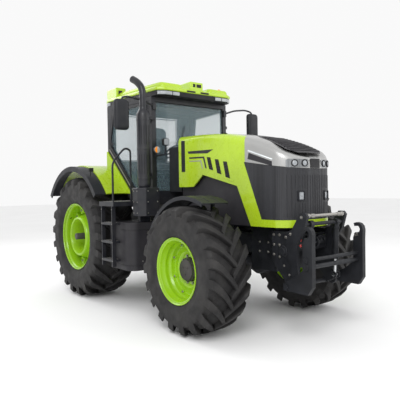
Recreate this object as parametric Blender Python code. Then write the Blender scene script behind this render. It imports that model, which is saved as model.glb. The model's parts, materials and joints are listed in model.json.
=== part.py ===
"""Four-wheel-drive farm tractor with a cab, a front linkage and a rear three-point linkage.

Metres, +Z up. The tractor points along -Y, its left side is +X, and the origin is on the ground
under the middle of its box.
"""

import math

import bmesh
import bpy
from mathutils import Matrix, Vector

# ---------------------------------------------------------------- driving dimensions
WHEELBASE = 3.00
LENGTH_AHEAD = 1.42  # front axle to the tips of the folded front links
LENGTH_BEHIND = 1.20  # rear axle to the ends of the rear lower links
GAP = 0.0003  # between pieces that touch
RUNNING_GAP = 0.006  # between pieces that pass each other
PIN_GAP = 0.0006  # round a pin in its bore

FRONT_TYRE_RADIUS = 0.79
FRONT_TYRE_WIDTH = 0.60
FRONT_TRACK_HALF = 1.04
REAR_TYRE_RADIUS = 1.01
REAR_TYRE_WIDTH = 0.71
REAR_TRACK_HALF = 1.01
KINGPIN_X = 0.78

CAB_LENGTH = 1.35
CAB_FRONT_HALF = 0.74
CAB_SIDE_HALF = 0.88
CAB_REAR_HALF = 0.76
CAB_FLOOR_Z = 1.66
CAB_TOP_Z = 3.20
CAB_WALL = 0.05
GLASS = 0.008

HOOD_LENGTH = 2.12  # rear edge to the tip of the nose
HOOD_BOTTOM_Z = 1.31
HOOD_SKIN = 0.02

# ---------------------------------------------------------------- places worked out from them
FRONT_AXLE_Y = LENGTH_AHEAD - (LENGTH_AHEAD + WHEELBASE + LENGTH_BEHIND) / 2
REAR_AXLE_Y = FRONT_AXLE_Y + WHEELBASE
CAB_FRONT_Y = REAR_AXLE_Y - 1.60
CAB_REAR_Y = CAB_FRONT_Y + CAB_LENGTH
CAB_WIDEST_Y = CAB_REAR_Y - 0.17
HOOD_REAR_Y = CAB_FRONT_Y - 0.35
NOSE_Y = HOOD_REAR_Y - HOOD_LENGTH
BOLSTER_FRONT_Y = FRONT_AXLE_Y - 0.69
DRIVE_FRONT_Y = HOOD_REAR_Y + 0.03

ARCH_RADIUS = REAR_TYRE_RADIUS + 0.18
ARCH_SKIN = 0.025
ARCH_INNER_X = REAR_TRACK_HALF - REAR_TYRE_WIDTH / 2 - 0.035

HOUSING_HALF = 0.27
HOUSING_TOP_Z = 1.30
TANK_INNER_X = 0.62
TANK_OUTER_X = 1.20
LADDER_OUTER_X = 1.33

WHEEL_STEPS = 24
PIN_STEPS = 12

LIME = (0.52, 0.68, 0.02, 1)
BLACK = (0.016, 0.018, 0.024, 1)
CHARCOAL = (0.04, 0.038, 0.042, 1)
SILVER = (0.50, 0.51, 0.50, 1)
STEEL = (0.42, 0.42, 0.43, 1)
TYRE_BLACK = (0.045, 0.042, 0.042, 1)
GLASS_TINT = (0.16, 0.23, 0.27, 1)
FABRIC = (0.05, 0.05, 0.055, 1)


# ---------------------------------------------------------------- modelling helpers
def clear_scene():
    for obj in list(bpy.data.objects):
        bpy.data.objects.remove(obj)


def material(name, colour, roughness, metallic=0.0, alpha=1.0):
    made = bpy.data.materials.new(name)
    made.use_nodes = True
    shader = made.node_tree.nodes["Principled BSDF"]
    shader.inputs["Base Color"].default_value = colour
    shader.inputs["Roughness"].default_value = roughness
    shader.inputs["Metallic"].default_value = metallic
    shader.inputs["Alpha"].default_value = alpha
    return made


def mesh_object(points, faces):
    """A closed mesh with its faces pointing out."""
    mesh = bpy.data.meshes.new("piece")
    mesh.from_pydata([tuple(point) for point in points], [], faces)
    shape = bmesh.new()
    shape.from_mesh(mesh)
    bmesh.ops.recalc_face_normals(shape, faces=shape.faces)
    shape.to_mesh(mesh)
    shape.free()
    obj = bpy.data.objects.new("piece", mesh)
    bpy.context.scene.collection.objects.link(obj)
    return obj


def level(value, first, second):
    """A number as it is, or a surface given as a function of the outline's coordinates."""
    return value(first, second) if callable(value) else value


def prism(outline, axis, low, high):
    """An outline extruded along an axis. It holds (y, z) for X, (x, z) for Y and (x, y) for Z."""
    first, second, along = {"X": (1, 2, 0), "Y": (0, 2, 1), "Z": (0, 1, 2)}[axis]
    points = []
    for end in (low, high):
        for u, v in outline:
            point = [0.0, 0.0, 0.0]
            point[first] = u
            point[second] = v
            point[along] = level(end, u, v)
            points.append(point)
    count = len(outline)
    faces = [tuple(range(count)), tuple(range(2 * count - 1, count - 1, -1))]
    for i in range(count):
        j = (i + 1) % count
        faces.append((i, j, count + j, count + i))
    return mesh_object(points, faces)


def box(x, y, z):
    """A block from its (low, high) pairs."""
    outline = [(x[0], y[0]), (x[1], y[0]), (x[1], y[1]), (x[0], y[1])]
    return prism(outline, "Z", z[0], z[1])


def turned(profile, centre, axis="X", steps=PIN_STEPS):
    """A profile of (along, radius) turned about an axis: a ring, or a solid if it ends on the axis."""
    rows = []
    points = []
    for along, radius in profile:
        count = steps if radius > 1e-6 else 1
        rows.append(list(range(len(points), len(points) + count)))
        for k in range(count):
            angle = 2 * math.pi * k / steps - math.pi / 2
            side, up = radius * math.cos(angle), radius * math.sin(angle)
            local = {"X": (along, side, up), "Y": (side, along, up), "Z": (side, up, along)}[axis]
            points.append(Vector(local) + Vector(centre))
    on_axis = len(rows[0]) == 1
    pairs = list(zip(rows, rows[1:] if on_axis else rows[1:] + rows[:1]))
    faces = []
    for a, b in pairs:
        for k in range(steps):
            n = (k + 1) % steps
            corners = [a[k % len(a)], a[n % len(a)], b[n % len(b)], b[k % len(b)]]
            face = list(dict.fromkeys(corners))
            if len(face) > 2:
                faces.append(face)
    return mesh_object(points, faces)


def rod(start, end, radius, axis, steps=PIN_STEPS):
    """A round bar along an axis, between two points that share their other coordinates."""
    index = "XYZ".index(axis)
    length = end[index] - start[index]
    return turned([(0, 0), (0, radius), (length, radius), (length, 0)], start, axis, steps)


def rounded_path(points, radius, steps=4):
    """The points of a path with its inner corners rounded."""
    points = [Vector(point) for point in points]
    path = [points[0]]
    for before, corner, after in zip(points, points[1:], points[2:]):
        back = (before - corner).normalized()
        onward = (after - corner).normalized()
        reach = min(radius, (before - corner).length / 2, (after - corner).length / 2)
        start, end = corner + back * reach, corner + onward * reach
        for k in range(steps + 1):
            t = k / steps
            path.append(start * (1 - t) ** 2 + corner * 2 * t * (1 - t) + end * t * t)
    path.append(points[-1])
    return path


def tube(path, radius, sides=8):
    """A bent bar of one radius, or of one radius for each point."""
    path = [Vector(point) for point in path]
    radii = radius if isinstance(radius, (list, tuple)) else [radius] * len(path)
    tangents = []
    for i in range(len(path)):
        tangents.append((path[min(i + 1, len(path) - 1)] - path[max(i - 1, 0)]).normalized())
    normal = tangents[0].orthogonal().normalized()
    points = []
    for i, (centre, tangent) in enumerate(zip(path, tangents)):
        normal = (normal - tangent * normal.dot(tangent)).normalized()
        across = tangent.cross(normal)
        for k in range(sides):
            angle = 2 * math.pi * k / sides
            points.append(centre + (normal * math.cos(angle) + across * math.sin(angle)) * radii[i])
    faces = [tuple(range(sides)), tuple(range(len(points) - sides, len(points)))]
    for i in range(len(path) - 1):
        for k in range(sides):
            n = (k + 1) % sides
            start, end = i * sides, (i + 1) * sides
            faces.append((start + k, start + n, end + n, end + k))
    return mesh_object(points, faces)


def arc(centre, radius, start, end, steps):
    """Points on an arc, with angles in degrees from the first axis towards the second."""
    points = []
    for k in range(steps + 1):
        angle = math.radians(start + (end - start) * k / steps)
        points.append((centre[0] + radius * math.cos(angle), centre[1] + radius * math.sin(angle)))
    return points


def combine(target, tool, operation):
    """Applies one exact Boolean and removes its tool."""
    modifier = target.modifiers.new("Combine", "BOOLEAN")
    modifier.operation = operation
    modifier.solver = "EXACT"
    modifier.object = tool
    graph = bpy.context.evaluated_depsgraph_get()
    mesh = bpy.data.meshes.new_from_object(target.evaluated_get(graph))
    target.modifiers.remove(modifier)
    target.data = mesh
    bpy.data.objects.remove(tool)
    return target


def join(first, *others):
    for other in others:
        combine(first, other, "UNION")
    return first


def cut(target, *tools):
    for tool in tools:
        combine(target, tool, "DIFFERENCE")
    return target


def mirrored(obj):
    """A copy on the other side of the tractor's middle plane."""
    copy = obj.copy()
    copy.data = obj.data.copy()
    copy.data.transform(Matrix.Scale(-1, 4, (1, 0, 0)))
    shape = bmesh.new()
    shape.from_mesh(copy.data)
    bmesh.ops.reverse_faces(shape, faces=shape.faces)
    shape.to_mesh(copy.data)
    shape.free()
    bpy.context.scene.collection.objects.link(copy)
    return copy


def finish(obj, name, surface, pivot=None, smooth=True):
    """Names a piece, gives it its material and puts its origin on its joint's axis."""
    obj.name = name
    obj.data.name = name
    obj.data.materials.clear()
    obj.data.materials.append(surface)
    if smooth:
        obj.data.shade_smooth()
        obj.data.set_sharp_from_angle(angle=math.radians(35))
    if pivot is not None:
        obj.data.transform(Matrix.Translation(-Vector(pivot)))
        obj.location = pivot
    return obj


def finish_pair(obj, name, surface, pivot=None):
    """The left piece and its mirror image on the right."""
    twin = mirrored(obj)
    finish(obj, name + "_left", surface, pivot)
    other = None if pivot is None else (-pivot[0], pivot[1], pivot[2])
    finish(twin, name + "_right", surface, other)


# ---------------------------------------------------------------- wheels and front axle
def tyre(centre, radius, width, barrel, flange, bead_half):
    """A solid ring that fills the tyre's section, seated between the rim's flanges."""
    half = width / 2
    side = [
        (bead_half, barrel + GAP),
        (bead_half, flange + 0.004),
        (half, flange + 0.50 * (radius - flange)),
        (half - 0.04, radius - 0.03),
        (half * 0.66, radius - 0.004),
        (0, radius),
    ]
    other = [(-along, r) for along, r in reversed(side[:-1])]
    return turned(side + other, centre, "X", WHEEL_STEPS)


def rim(centre, outer, flange, barrel, skin, hub, dish):
    """A rim with its disc: hub is (inner face, radius, bore radius, bore end), all from the middle."""
    lip = 0.015
    hub_in, hub_radius, bore, bore_end = hub
    profile = [(dish[0][0], 0)] + dish
    profile += [
        (outer - 0.07, barrel - skin),
        (outer, barrel - skin),
        (outer, flange),
        (outer - lip, flange),
        (outer - lip, barrel),
        (-outer + lip, barrel),
        (-outer + lip, flange),
        (-outer, flange),
        (-outer, barrel - skin),
        (outer - 0.11, barrel - skin),
        (dish[-1][0] - 0.025, dish[-1][1] - 0.01),
        (dish[-1][0] - 0.025, hub_radius),
        (hub_in, hub_radius),
        (hub_in, bore),
        (bore_end, bore),
        (bore_end, 0),
    ]
    return turned(profile, centre, "X", WHEEL_STEPS)


FRONT_RIM_HALF = 0.283
FRONT_FLANGE = 0.41
FRONT_BARREL = 0.385
REAR_RIM_HALF = 0.305
REAR_FLANGE = 0.563
REAR_BARREL = 0.538
STUB_RADIUS = 0.055
REAR_STUB_RADIUS = 0.07
KNUCKLE_FACE = 1.00 - FRONT_TRACK_HALF  # the knuckle's outer face, from the front tyre's middle
TRUMPET_FACE = 0.80 - REAR_TRACK_HALF  # the axle tube's outer face, from the rear tyre's middle


def make_wheels(rubber, lime):
    front = (FRONT_TRACK_HALF, FRONT_AXLE_Y, FRONT_TYRE_RADIUS)
    rear = (REAR_TRACK_HALF, REAR_AXLE_Y, REAR_TYRE_RADIUS)
    bead = FRONT_RIM_HALF - 0.015 - GAP
    piece = tyre(front, FRONT_TYRE_RADIUS, FRONT_TYRE_WIDTH, FRONT_BARREL, FRONT_FLANGE, bead)
    finish_pair(piece, "tyre_front", rubber, front)
    bead = REAR_RIM_HALF - 0.015 - GAP
    piece = tyre(rear, REAR_TYRE_RADIUS, REAR_TYRE_WIDTH, REAR_BARREL, REAR_FLANGE, bead)
    finish_pair(piece, "tyre_rear", rubber, rear)

    hub = (KNUCKLE_FACE + RUNNING_GAP, 0.15, STUB_RADIUS + PIN_GAP, KNUCKLE_FACE + 0.066)
    dish = [(0.13, 0.14), (0.11, 0.16), (0.045, 0.16), (0.06, 0.22)]
    piece = rim(front, FRONT_RIM_HALF, FRONT_FLANGE, FRONT_BARREL, 0.017, hub, dish)
    finish_pair(piece, "rim_front", lime, front)
    hub = (TRUMPET_FACE + RUNNING_GAP, 0.15, REAR_STUB_RADIUS + 1.5 * PIN_GAP, TRUMPET_FACE + 0.076)
    dish = [(0.30, 0.055), (0.09, 0.055), (0.09, 0.14), (0.0, 0.14), (0.0, 0.25), (-0.03, 0.30)]
    piece = rim(rear, REAR_RIM_HALF, REAR_FLANGE, REAR_BARREL, 0.02, hub, dish)
    finish_pair(piece, "rim_rear", lime, rear)


AXLE_Z = FRONT_TYRE_RADIUS
BEAM_HALF_HEIGHT = 0.09
BOSS_HALF_HEIGHT = 0.115
KINGPIN_RADIUS = 0.034
KNUCKLE_ARM = 0.045
KNUCKLE_TOP_Z = AXLE_Z + BOSS_HALF_HEIGHT + RUNNING_GAP + KNUCKLE_ARM


def make_front_axle(iron):
    """A beam with a differential, a kingpin boss at each end and the steering cylinder behind it."""
    y, z = FRONT_AXLE_Y, AXLE_Z
    beam = box((-KINGPIN_X, KINGPIN_X), (y - 0.08, y + 0.08), (z - BEAM_HALF_HEIGHT, z + BEAM_HALF_HEIGHT))
    profile = [(-0.15, 0), (-0.13, 0.10), (0, 0.145), (0.13, 0.10), (0.15, 0)]
    case = turned(profile, (0.12, y, z - 0.06), "Y", 12)
    cylinder = rod((-0.32, y + 0.17, z), (0.32, y + 0.17, z), 0.035, "X", 12)
    saddle = box((-0.10, 0.10), (y + 0.06, y + 0.18), (z - 0.05, z + 0.05))
    join(beam, case, saddle, cylinder)
    reach = BOSS_HALF_HEIGHT + RUNNING_GAP + KNUCKLE_ARM
    for side in (-1, 1):
        x = side * KINGPIN_X
        boss = rod((x, y, z - BOSS_HALF_HEIGHT), (x, y, z + BOSS_HALF_HEIGHT), 0.085, "Z", 20)
        pin = rod((x, y, z - reach), (x, y, z + reach), KINGPIN_RADIUS, "Z", 20)
        join(beam, boss, pin)
    finish(beam, "front_axle_beam", iron)


def make_knuckles(iron):
    """A forked knuckle that turns on the kingpin and carries the front wheel's stub axle."""
    y, z = FRONT_AXLE_Y, AXLE_Z
    pivot = (KINGPIN_X, y, z)
    face = FRONT_TRACK_HALF + KNUCKLE_FACE
    web_x = KINGPIN_X + 0.085 + RUNNING_GAP
    low = BOSS_HALF_HEIGHT + RUNNING_GAP
    web = box((web_x, web_x + 0.05), (y - 0.09, y + 0.09), (z - low - KNUCKLE_ARM, z + low + KNUCKLE_ARM))
    carrier = rod((web_x + 0.02, y, z), (face, y, z), 0.15, "X", 16)
    stub = rod((face - 0.02, y, z), (face + 0.06, y, z), STUB_RADIUS, "X", 16)
    join(web, carrier, stub)
    for bottom in (z + low, z - low - KNUCKLE_ARM):
        arm = box((KINGPIN_X - 0.08, web_x + 0.01), (y - 0.07, y + 0.07), (bottom, bottom + KNUCKLE_ARM))
        join(web, arm)
    bore_top = z + low + KNUCKLE_ARM + 0.01
    bore_bottom = z - low - KNUCKLE_ARM - 0.01
    bore = rod((KINGPIN_X, y, bore_bottom), (KINGPIN_X, y, bore_top), KINGPIN_RADIUS + PIN_GAP, "Z", 20)
    space = rod((KINGPIN_X, y, z - low), (KINGPIN_X, y, z + low), 0.085 + 0.5 * RUNNING_GAP, "Z", 20)
    cut(web, bore, space)
    finish_pair(web, "knuckle", iron, pivot)


def make_front_fenders(plastic):
    """A mudguard over the front tyre, on a bracket that stands on the knuckle's upper arm."""
    y, z = FRONT_AXLE_Y, AXLE_Z
    inner, outer = FRONT_TYRE_RADIUS + 0.10, FRONT_TYRE_RADIUS + 0.12
    steps = 9
    outline = arc((y, z), outer, 115, 5, steps) + arc((y, z), inner, 5, 115, steps)
    guard = prism(outline, "X", KINGPIN_X, KINGPIN_X + 0.40)
    lip_outline = arc((y, z), outer - 0.006, 114, 6, steps) + arc((y, z), inner - 0.03, 6, 114, steps)
    join(guard, prism(lip_outline, "X", KINGPIN_X + 0.385, KINGPIN_X + 0.41))
    foot_x = KINGPIN_X - 0.062
    top = z + inner + 0.01
    foot_z = (KNUCKLE_TOP_Z + GAP, KNUCKLE_TOP_Z + 0.04)
    foot = box((foot_x - 0.018, foot_x + 0.018), (y - 0.05, y + 0.05), foot_z)
    post = box((foot_x - 0.012, foot_x + 0.012), (y - 0.03, y + 0.03), (KNUCKLE_TOP_Z + 0.03, top))
    head = box((foot_x - 0.012, KINGPIN_X + 0.03), (y - 0.03, y + 0.03), (top - 0.03, top))
    join(guard, head, post, foot)
    finish_pair(guard, "front_fender", plastic, (KINGPIN_X, y, z))


# ---------------------------------------------------------------- chassis and drive
def make_front_frame(iron):
    """The cast bolster that carries the axle, the cooling pack and the front linkage."""
    y = FRONT_AXLE_Y
    bolster = box((-0.28, 0.28), (BOLSTER_FRONT_Y, y - 0.25), (0.75, 1.29))
    rails = box((-0.24, 0.24), (y - 0.30, y + 0.10), (0.94, 1.20))
    pad = box((-0.10, 0.10), (y - 0.08, y + 0.08), (AXLE_Z + BEAM_HALF_HEIGHT + GAP, 0.96))
    finish(join(bolster, rails, pad), "front_frame", iron, smooth=False)


def make_cooling_pack(metal):
    y = FRONT_AXLE_Y
    pack = box((-0.34, 0.34), (y - 0.55, y + 0.05), (1.29 + GAP, 2.02))
    finish(pack, "cooling_pack", metal, smooth=False)


def make_engine(iron):
    block = box((-HOUSING_HALF, HOUSING_HALF), (FRONT_AXLE_Y + 0.10 + GAP, DRIVE_FRONT_Y - GAP), (0.95, 1.95))
    finish(block, "engine_block", iron, smooth=False)


LINK_PIVOT_Y = REAR_AXLE_Y + 0.15
LINK_PIVOT_Z = 0.60
ROCKSHAFT_Z = 1.50
LIFT_ARM = 0.50
LINK_SHAFT = 0.025
ROCKSHAFT = 0.03


def make_drivetrain(iron):
    """Gearbox, rear axle with its trumpets, drawbar, power take-off and the linkage's brackets."""
    y = REAR_AXLE_Y
    outline = [
        (DRIVE_FRONT_Y, 0.72),
        (y - 0.45, 0.64),
        (y + 0.35, 0.66),
        (y + 0.35, 1.42),
        (y - 0.38, 1.42),
        (y - 0.48, HOUSING_TOP_Z),
        (DRIVE_FRONT_Y, HOUSING_TOP_Z),
    ]
    housing = prism(outline, "X", -HOUSING_HALF, HOUSING_HALF)
    face = REAR_TRACK_HALF + TRUMPET_FACE
    end = face + 0.07
    profile = [(end, 0), (end, REAR_STUB_RADIUS), (face, REAR_STUB_RADIUS), (face, 0.13)]
    profile += [(0.5, 0.13), (0.25, 0.18)]
    profile += [(-along, radius) for along, radius in reversed(profile)]
    join(housing, turned(profile, (0, y, REAR_TYRE_RADIUS), "X", 16))
    for side in (-1, 1):
        lower = box(sorted((side * 0.20, side * 0.24)), (y + 0.09, y + 0.21), (0.55, 0.70))
        upper = box(sorted((side * 0.20, side * 0.26)), (y + 0.08, y + 0.22), (1.38, 1.56))
        join(housing, lower, upper)
    join(housing, rod((0, y + 0.30, 0.82), (0, y + 0.45, 0.82), 0.03, "Y", 12))
    join(housing, box((-0.05, 0.05), (y - 0.36, y - 0.28), (0.46, 0.70)))
    join(housing, box((-0.08, 0.08), (y + 0.27, y + 0.33), (0.44, 0.70)))
    join(housing, box((-0.045, 0.045), (y - 0.40, y + 0.62), (0.47, 0.51)))
    lower_bore = LINK_SHAFT + PIN_GAP
    low_axis = (LINK_PIVOT_Y, LINK_PIVOT_Z)
    cut(housing, rod((-0.3, *low_axis), (0.3, *low_axis), lower_bore, "X", 20))
    upper_bore = ROCKSHAFT + PIN_GAP
    high_axis = (LINK_PIVOT_Y, ROCKSHAFT_Z)
    cut(housing, rod((-0.3, *high_axis), (0.3, *high_axis), upper_bore, "X", 20))
    finish(housing, "drivetrain_housing", iron)


# ---------------------------------------------------------------- rear linkage
LINK_END_Y = REAR_AXLE_Y + LENGTH_BEHIND - 0.045
LINK_SPREAD = (0.36, 0.4825)  # half width at the pivot and at the ball ends
LIFT_PIN = 0.012
LIFT_ROD_X = 0.37


def make_rear_linkage(steel, iron):
    """Lower links, rockshaft with its arms, and the upright lift rods between them."""
    y, z = LINK_PIVOT_Y, LINK_PIVOT_Z
    near, far = LINK_SPREAD
    outline = [(near - 0.02, y - 0.04), (near + 0.02, y - 0.04)]
    outline += [(far + 0.02, LINK_END_Y), (far - 0.02, LINK_END_Y)]
    link = prism(outline, "Z", z - 0.035, z + 0.035)
    join(link, rod((far - 0.022, LINK_END_Y, z), (far + 0.022, LINK_END_Y, z), 0.045, "X", 16))
    middle = near + (far - near) * LIFT_ARM / (LINK_END_Y - y + 0.04)
    join(link, rod((0.345, y + LIFT_ARM, z), (middle, y + LIFT_ARM, z), LIFT_PIN, "X"))
    links = join(link, mirrored(link))
    join(links, rod((-near, y, z), (near, y, z), LINK_SHAFT, "X", 20))
    finish(links, "rear_lower_links", iron, (0, y, z))

    top = ROCKSHAFT_Z
    outline = [(y - 0.05, top - 0.04), (y + 0.02, top - 0.055), (y + LIFT_ARM + 0.02, top - 0.025)]
    outline += [(y + LIFT_ARM + 0.03, top), (y + LIFT_ARM + 0.02, top + 0.025)]
    outline += [(y + 0.02, top + 0.055), (y - 0.05, top + 0.04)]
    arm = prism(outline, "X", 0.40, 0.44)
    join(arm, rod((0.345, y + LIFT_ARM, top), (0.42, y + LIFT_ARM, top), LIFT_PIN, "X"))
    arms = join(arm, mirrored(arm), rod((-0.42, y, top), (0.42, y, top), ROCKSHAFT, "X", 20))
    finish(arms, "rear_lift_arms", iron, (0, y, top))

    bar = rod((LIFT_ROD_X, y + LIFT_ARM, z + 0.02), (LIFT_ROD_X, y + LIFT_ARM, top - 0.02), 0.015, "Z", 10)
    for height in (z, top):
        pin = (y + LIFT_ARM, height)
        join(bar, rod((LIFT_ROD_X - 0.018, *pin), (LIFT_ROD_X + 0.018, *pin), 0.03, "X"))
    for height in (z, top):
        pin = (y + LIFT_ARM, height)
        bore = rod((LIFT_ROD_X - 0.04, *pin), (LIFT_ROD_X + 0.04, *pin), LIFT_PIN + PIN_GAP, "X")
        cut(bar, bore)
    finish_pair(bar, "rear_lift_rod", steel, (LIFT_ROD_X, y + LIFT_ARM, top))


# ---------------------------------------------------------------- front linkage
PLATE_X = (0.335, 0.375)
FRONT_PIVOT = (FRONT_AXLE_Y - 1.04, 0.64)
FRONT_SHAFT = 0.025
CYLINDER_TOP = (FRONT_AXLE_Y - 1.19, 1.36)
CYLINDER_PIN = 0.022
CRANK = 0.14
CRANK_ANGLE = 30
CYLINDER_X = 0.24
FRONT_LINK_X = (0.44, 0.50)
ROD_PIN = 0.010
LUG_HOLE = 0.030


def crank_end():
    """Where the lift rod's eye sits at rest, ahead of the links' pivot."""
    angle = math.radians(CRANK_ANGLE)
    return (FRONT_PIVOT[0] - CRANK * math.cos(angle), FRONT_PIVOT[1] + CRANK * math.sin(angle))


def make_front_hitch_frame(iron):
    """Two side plates bolted to the bolster, tied by a back plate and the cylinders' cross tube."""
    y = FRONT_AXLE_Y
    outline = [
        (y - 0.71, 0.90),
        (y - 0.98, 0.60),
        (y - 1.04, 0.575),
        (y - 1.09, 0.60),
        (y - 1.115, 0.70),
        (y - 1.09, 1.12),
        (y - 1.20, 1.28),
        (y - 1.25, 1.45),
        (y - 1.22, 1.49),
        (y - 1.15, 1.49),
        (y - 1.02, 1.29),
        (y - 0.95, 1.265),
        (y - 0.71, 1.265),
    ]
    plate = prism(outline, "X", *PLATE_X)
    frame = join(plate, mirrored(plate))
    join(frame, box((-0.36, 0.36), (y - 0.76, BOLSTER_FRONT_Y - GAP), (0.93, 1.25)))
    join(frame, rod((-0.35, *CYLINDER_TOP), (0.35, *CYLINDER_TOP), CYLINDER_PIN, "X", 20))
    join(frame, box((-0.35, 0.35), (y - 0.96, y - 0.93), (1.02, 1.22)))
    cut(frame, rod((-0.4, *FRONT_PIVOT), (0.4, *FRONT_PIVOT), FRONT_SHAFT + PIN_GAP, "X", 20))
    finish(frame, "front_hitch_frame", iron)


def make_front_links(iron):
    """Folded-up lower links with claw ends, tied by cross tubes and turned by short cranks."""
    y, z = FRONT_PIVOT
    reach = FRONT_AXLE_Y - LENGTH_AHEAD  # the foremost point of the whole tractor
    claw_outer, claw_inner = 0.085, 0.045
    claw = (reach + claw_outer, 1.265)
    outline = [(y + 0.045, z - 0.04), (y + 0.045, z + 0.04), (y - 0.10, z + 0.12), (claw[0] + 0.05, z + 0.22)]
    outline += [(claw[0] + 0.05, claw[1] - 0.10)]
    outline += arc(claw, claw_inner, 300, 50, 6)
    outline += arc(claw, claw_outer, 60, 180, 4)
    outline += [(reach + 0.005, claw[1] - 0.12), (reach + 0.005, z + 0.05), (reach + 0.07, z - 0.045)]
    link = prism(outline, "X", *FRONT_LINK_X)
    links = join(link, mirrored(link))
    inner = FRONT_LINK_X[0] + 0.02
    for height, radius in ((0.90, 0.028), (0.98, 0.022)):
        join(links, rod((-inner, claw[0], height), (inner, claw[0], height), radius, "X", 10))
    join(links, rod((-inner, y, z), (inner, y, z), FRONT_SHAFT, "X", 16))
    eye = crank_end()
    for side in (-1, 1):
        for offset in (-0.045, 0.025):
            x = sorted((side * (CYLINDER_X + offset), side * (CYLINDER_X + offset + 0.02)))
            lug = [(y + 0.03, z - 0.045), (eye[0] - 0.045, eye[1] - 0.02), (eye[0] - 0.045, eye[1] + 0.035)]
            lug += [(eye[0] + 0.03, eye[1] + 0.05), (y + 0.03, z + 0.045)]
            join(links, prism(lug, "X", *x))
    cut(links, rod((-0.35, *eye), (0.35, *eye), LUG_HOLE, "X", 12))
    join(links, rod((-0.30, y, z), (0.30, y, z), FRONT_SHAFT * 0.98, "X", 16))
    finish(links, "front_lower_links", iron, (0, y, z))


BARREL_RADIUS = 0.036
BARREL_LENGTH = 0.45
LIFT_ROD_RADIUS = 0.020


def make_front_cylinders(iron, steel):
    """Lift cylinders that hang from the cross tube, each with a rod that ends in a pinned eye."""
    top = Vector((0, *CYLINDER_TOP))
    eye = Vector((0, *crank_end()))
    down = (eye - top).normalized()
    shift = Vector((CYLINDER_X, 0, 0))
    barrel = tube([top + shift, top + shift + down * BARREL_LENGTH], BARREL_RADIUS, 12)
    join(barrel, rod(top + shift - Vector((0.03, 0, 0)), top + shift + Vector((0.03, 0, 0)), 0.042, "X", 12))
    bore_start = top + shift + down * 0.07
    bore_end = top + shift + down * (BARREL_LENGTH + 0.02)
    cut(barrel, tube([bore_start, bore_end], LIFT_ROD_RADIUS + PIN_GAP, 12))
    reach = Vector((0.05, 0, 0))
    cut(barrel, rod(top + shift - reach, top + shift + reach, CYLINDER_PIN + PIN_GAP, "X", 20))
    finish_pair(barrel, "front_lift_barrel", iron, tuple(top + shift))

    rod_start = top + shift + down * 0.22
    bar = tube([rod_start, eye + shift], LIFT_ROD_RADIUS, 12)
    join(bar, rod(eye + shift - Vector((0.018, 0, 0)), eye + shift + Vector((0.018, 0, 0)), 0.028, "X"))
    join(bar, rod(eye + shift - Vector((0.05, 0, 0)), eye + shift + Vector((0.05, 0, 0)), ROD_PIN, "X"))
    finish_pair(bar, "front_lift_rod", steel, tuple(eye + shift))


# ---------------------------------------------------------------- hood


def hood_top(y):
    """Height of the hood's crown along its length: nearly level, then falling to the nose."""
    t = max(HOOD_REAR_Y - y, 0.0) / HOOD_LENGTH
    return 2.585 - 0.06 * t - 0.37 * t**3.2


def hood_half(y):
    t = max(HOOD_REAR_Y - y, 0.0) / HOOD_LENGTH
    return 0.50 - 0.055 * t**1.5


def hood_plan(inset):
    """Half the hood's plan from the rear edge to the nose, as (x, y)."""
    side = []
    nose_side = NOSE_Y + 0.24
    for k in range(6):
        y = HOOD_REAR_Y + (nose_side - HOOD_REAR_Y) * k / 5
        side.append((hood_half(y) - inset, y))
    half = hood_half(nose_side) - inset
    for k in range(1, 7):
        angle = math.radians(15 * k)
        x = half * math.cos(angle) ** 0.75
        y = nose_side - (0.24 - inset) * math.sin(angle) ** 1.3
        side.append((max(x, 0.0), y))
    return side


def hood_body(inset, bottom, extend_rear):
    """The hood's full form: upright sides, a rounded shoulder and a crowned top."""
    half = hood_plan(inset)
    plan = half[:-1] + [(0.0, half[-1][1])] + [(-x, y) for x, y in reversed(half[:-1])]
    plan = [(x, y + extend_rear if i in (0, len(plan) - 1) else y) for i, (x, y) in enumerate(plan)]
    rings = [(1.0, None), (1.0, 0.105), (0.97, 0.05), (0.86, 0.018), (0.5, 0.003)]
    points = []
    for scale, drop in rings:
        for x, y in plan:
            shifted = y + (1 - scale) * 0.22 * (1 if y < NOSE_Y + 0.3 else 0)
            z = bottom if drop is None else hood_top(max(y, NOSE_Y)) - drop - inset
            points.append((x * scale, shifted, z))
    count = len(plan)
    faces = []
    for ring in range(len(rings) - 1):
        for i in range(count):
            j = (i + 1) % count
            start, end = ring * count, (ring + 1) * count
            faces.append((start + i, start + j, end + j, end + i))
    for base in (0, (len(rings) - 1) * count):
        middle = count // 2
        for i in range(middle - 1):
            a, b = base + i, base + i + 1
            c, d = base + count - 2 - i, base + count - 1 - i
            faces.append((a, b, c, d))
        faces.append((base + middle - 1, base + middle, base + middle + 1))
    return mesh_object(points, faces)


def hood_lower_edge(lift):
    """The stepped lower edge of the hood's side, as (y, z), raised by a small amount."""
    y = FRONT_AXLE_Y
    return [
        (y - 0.44, HOOD_BOTTOM_Z + lift),
        (y - 0.20, 1.815 + lift),
        (HOOD_REAR_Y - 0.564, 1.983 + lift),
        (HOOD_REAR_Y - 0.346, 1.817 + lift),
        (HOOD_REAR_Y + 0.001, 1.817 + lift),
    ]


def grille_region(margin):
    """The side view of the dark grille: ahead of a slanted line, above the lime sill."""
    y = FRONT_AXLE_Y
    return [
        (y - 0.33 - margin, 2.115 - margin),
        (NOSE_Y - 0.3, 1.965 - margin),
        (NOSE_Y - 0.3, 1.40 + margin),
        (y - 0.62 - margin, 1.40 + margin),
    ]


def top_region(margin):
    """The silver panel's tongue, seen from above, as (x, y)."""
    y = FRONT_AXLE_Y
    half = [
        (0.10, HOOD_REAR_Y - 0.43),
        (0.22, HOOD_REAR_Y - 0.62),
        (0.30, y + 0.10),
        (0.36, y - 0.28),
        (0.60, y - 0.43),
        (0.60, NOSE_Y - 0.3),
    ]
    half = [(x - margin, value) for x, value in half]
    return half + [(-x, value) for x, value in reversed(half)]


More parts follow.
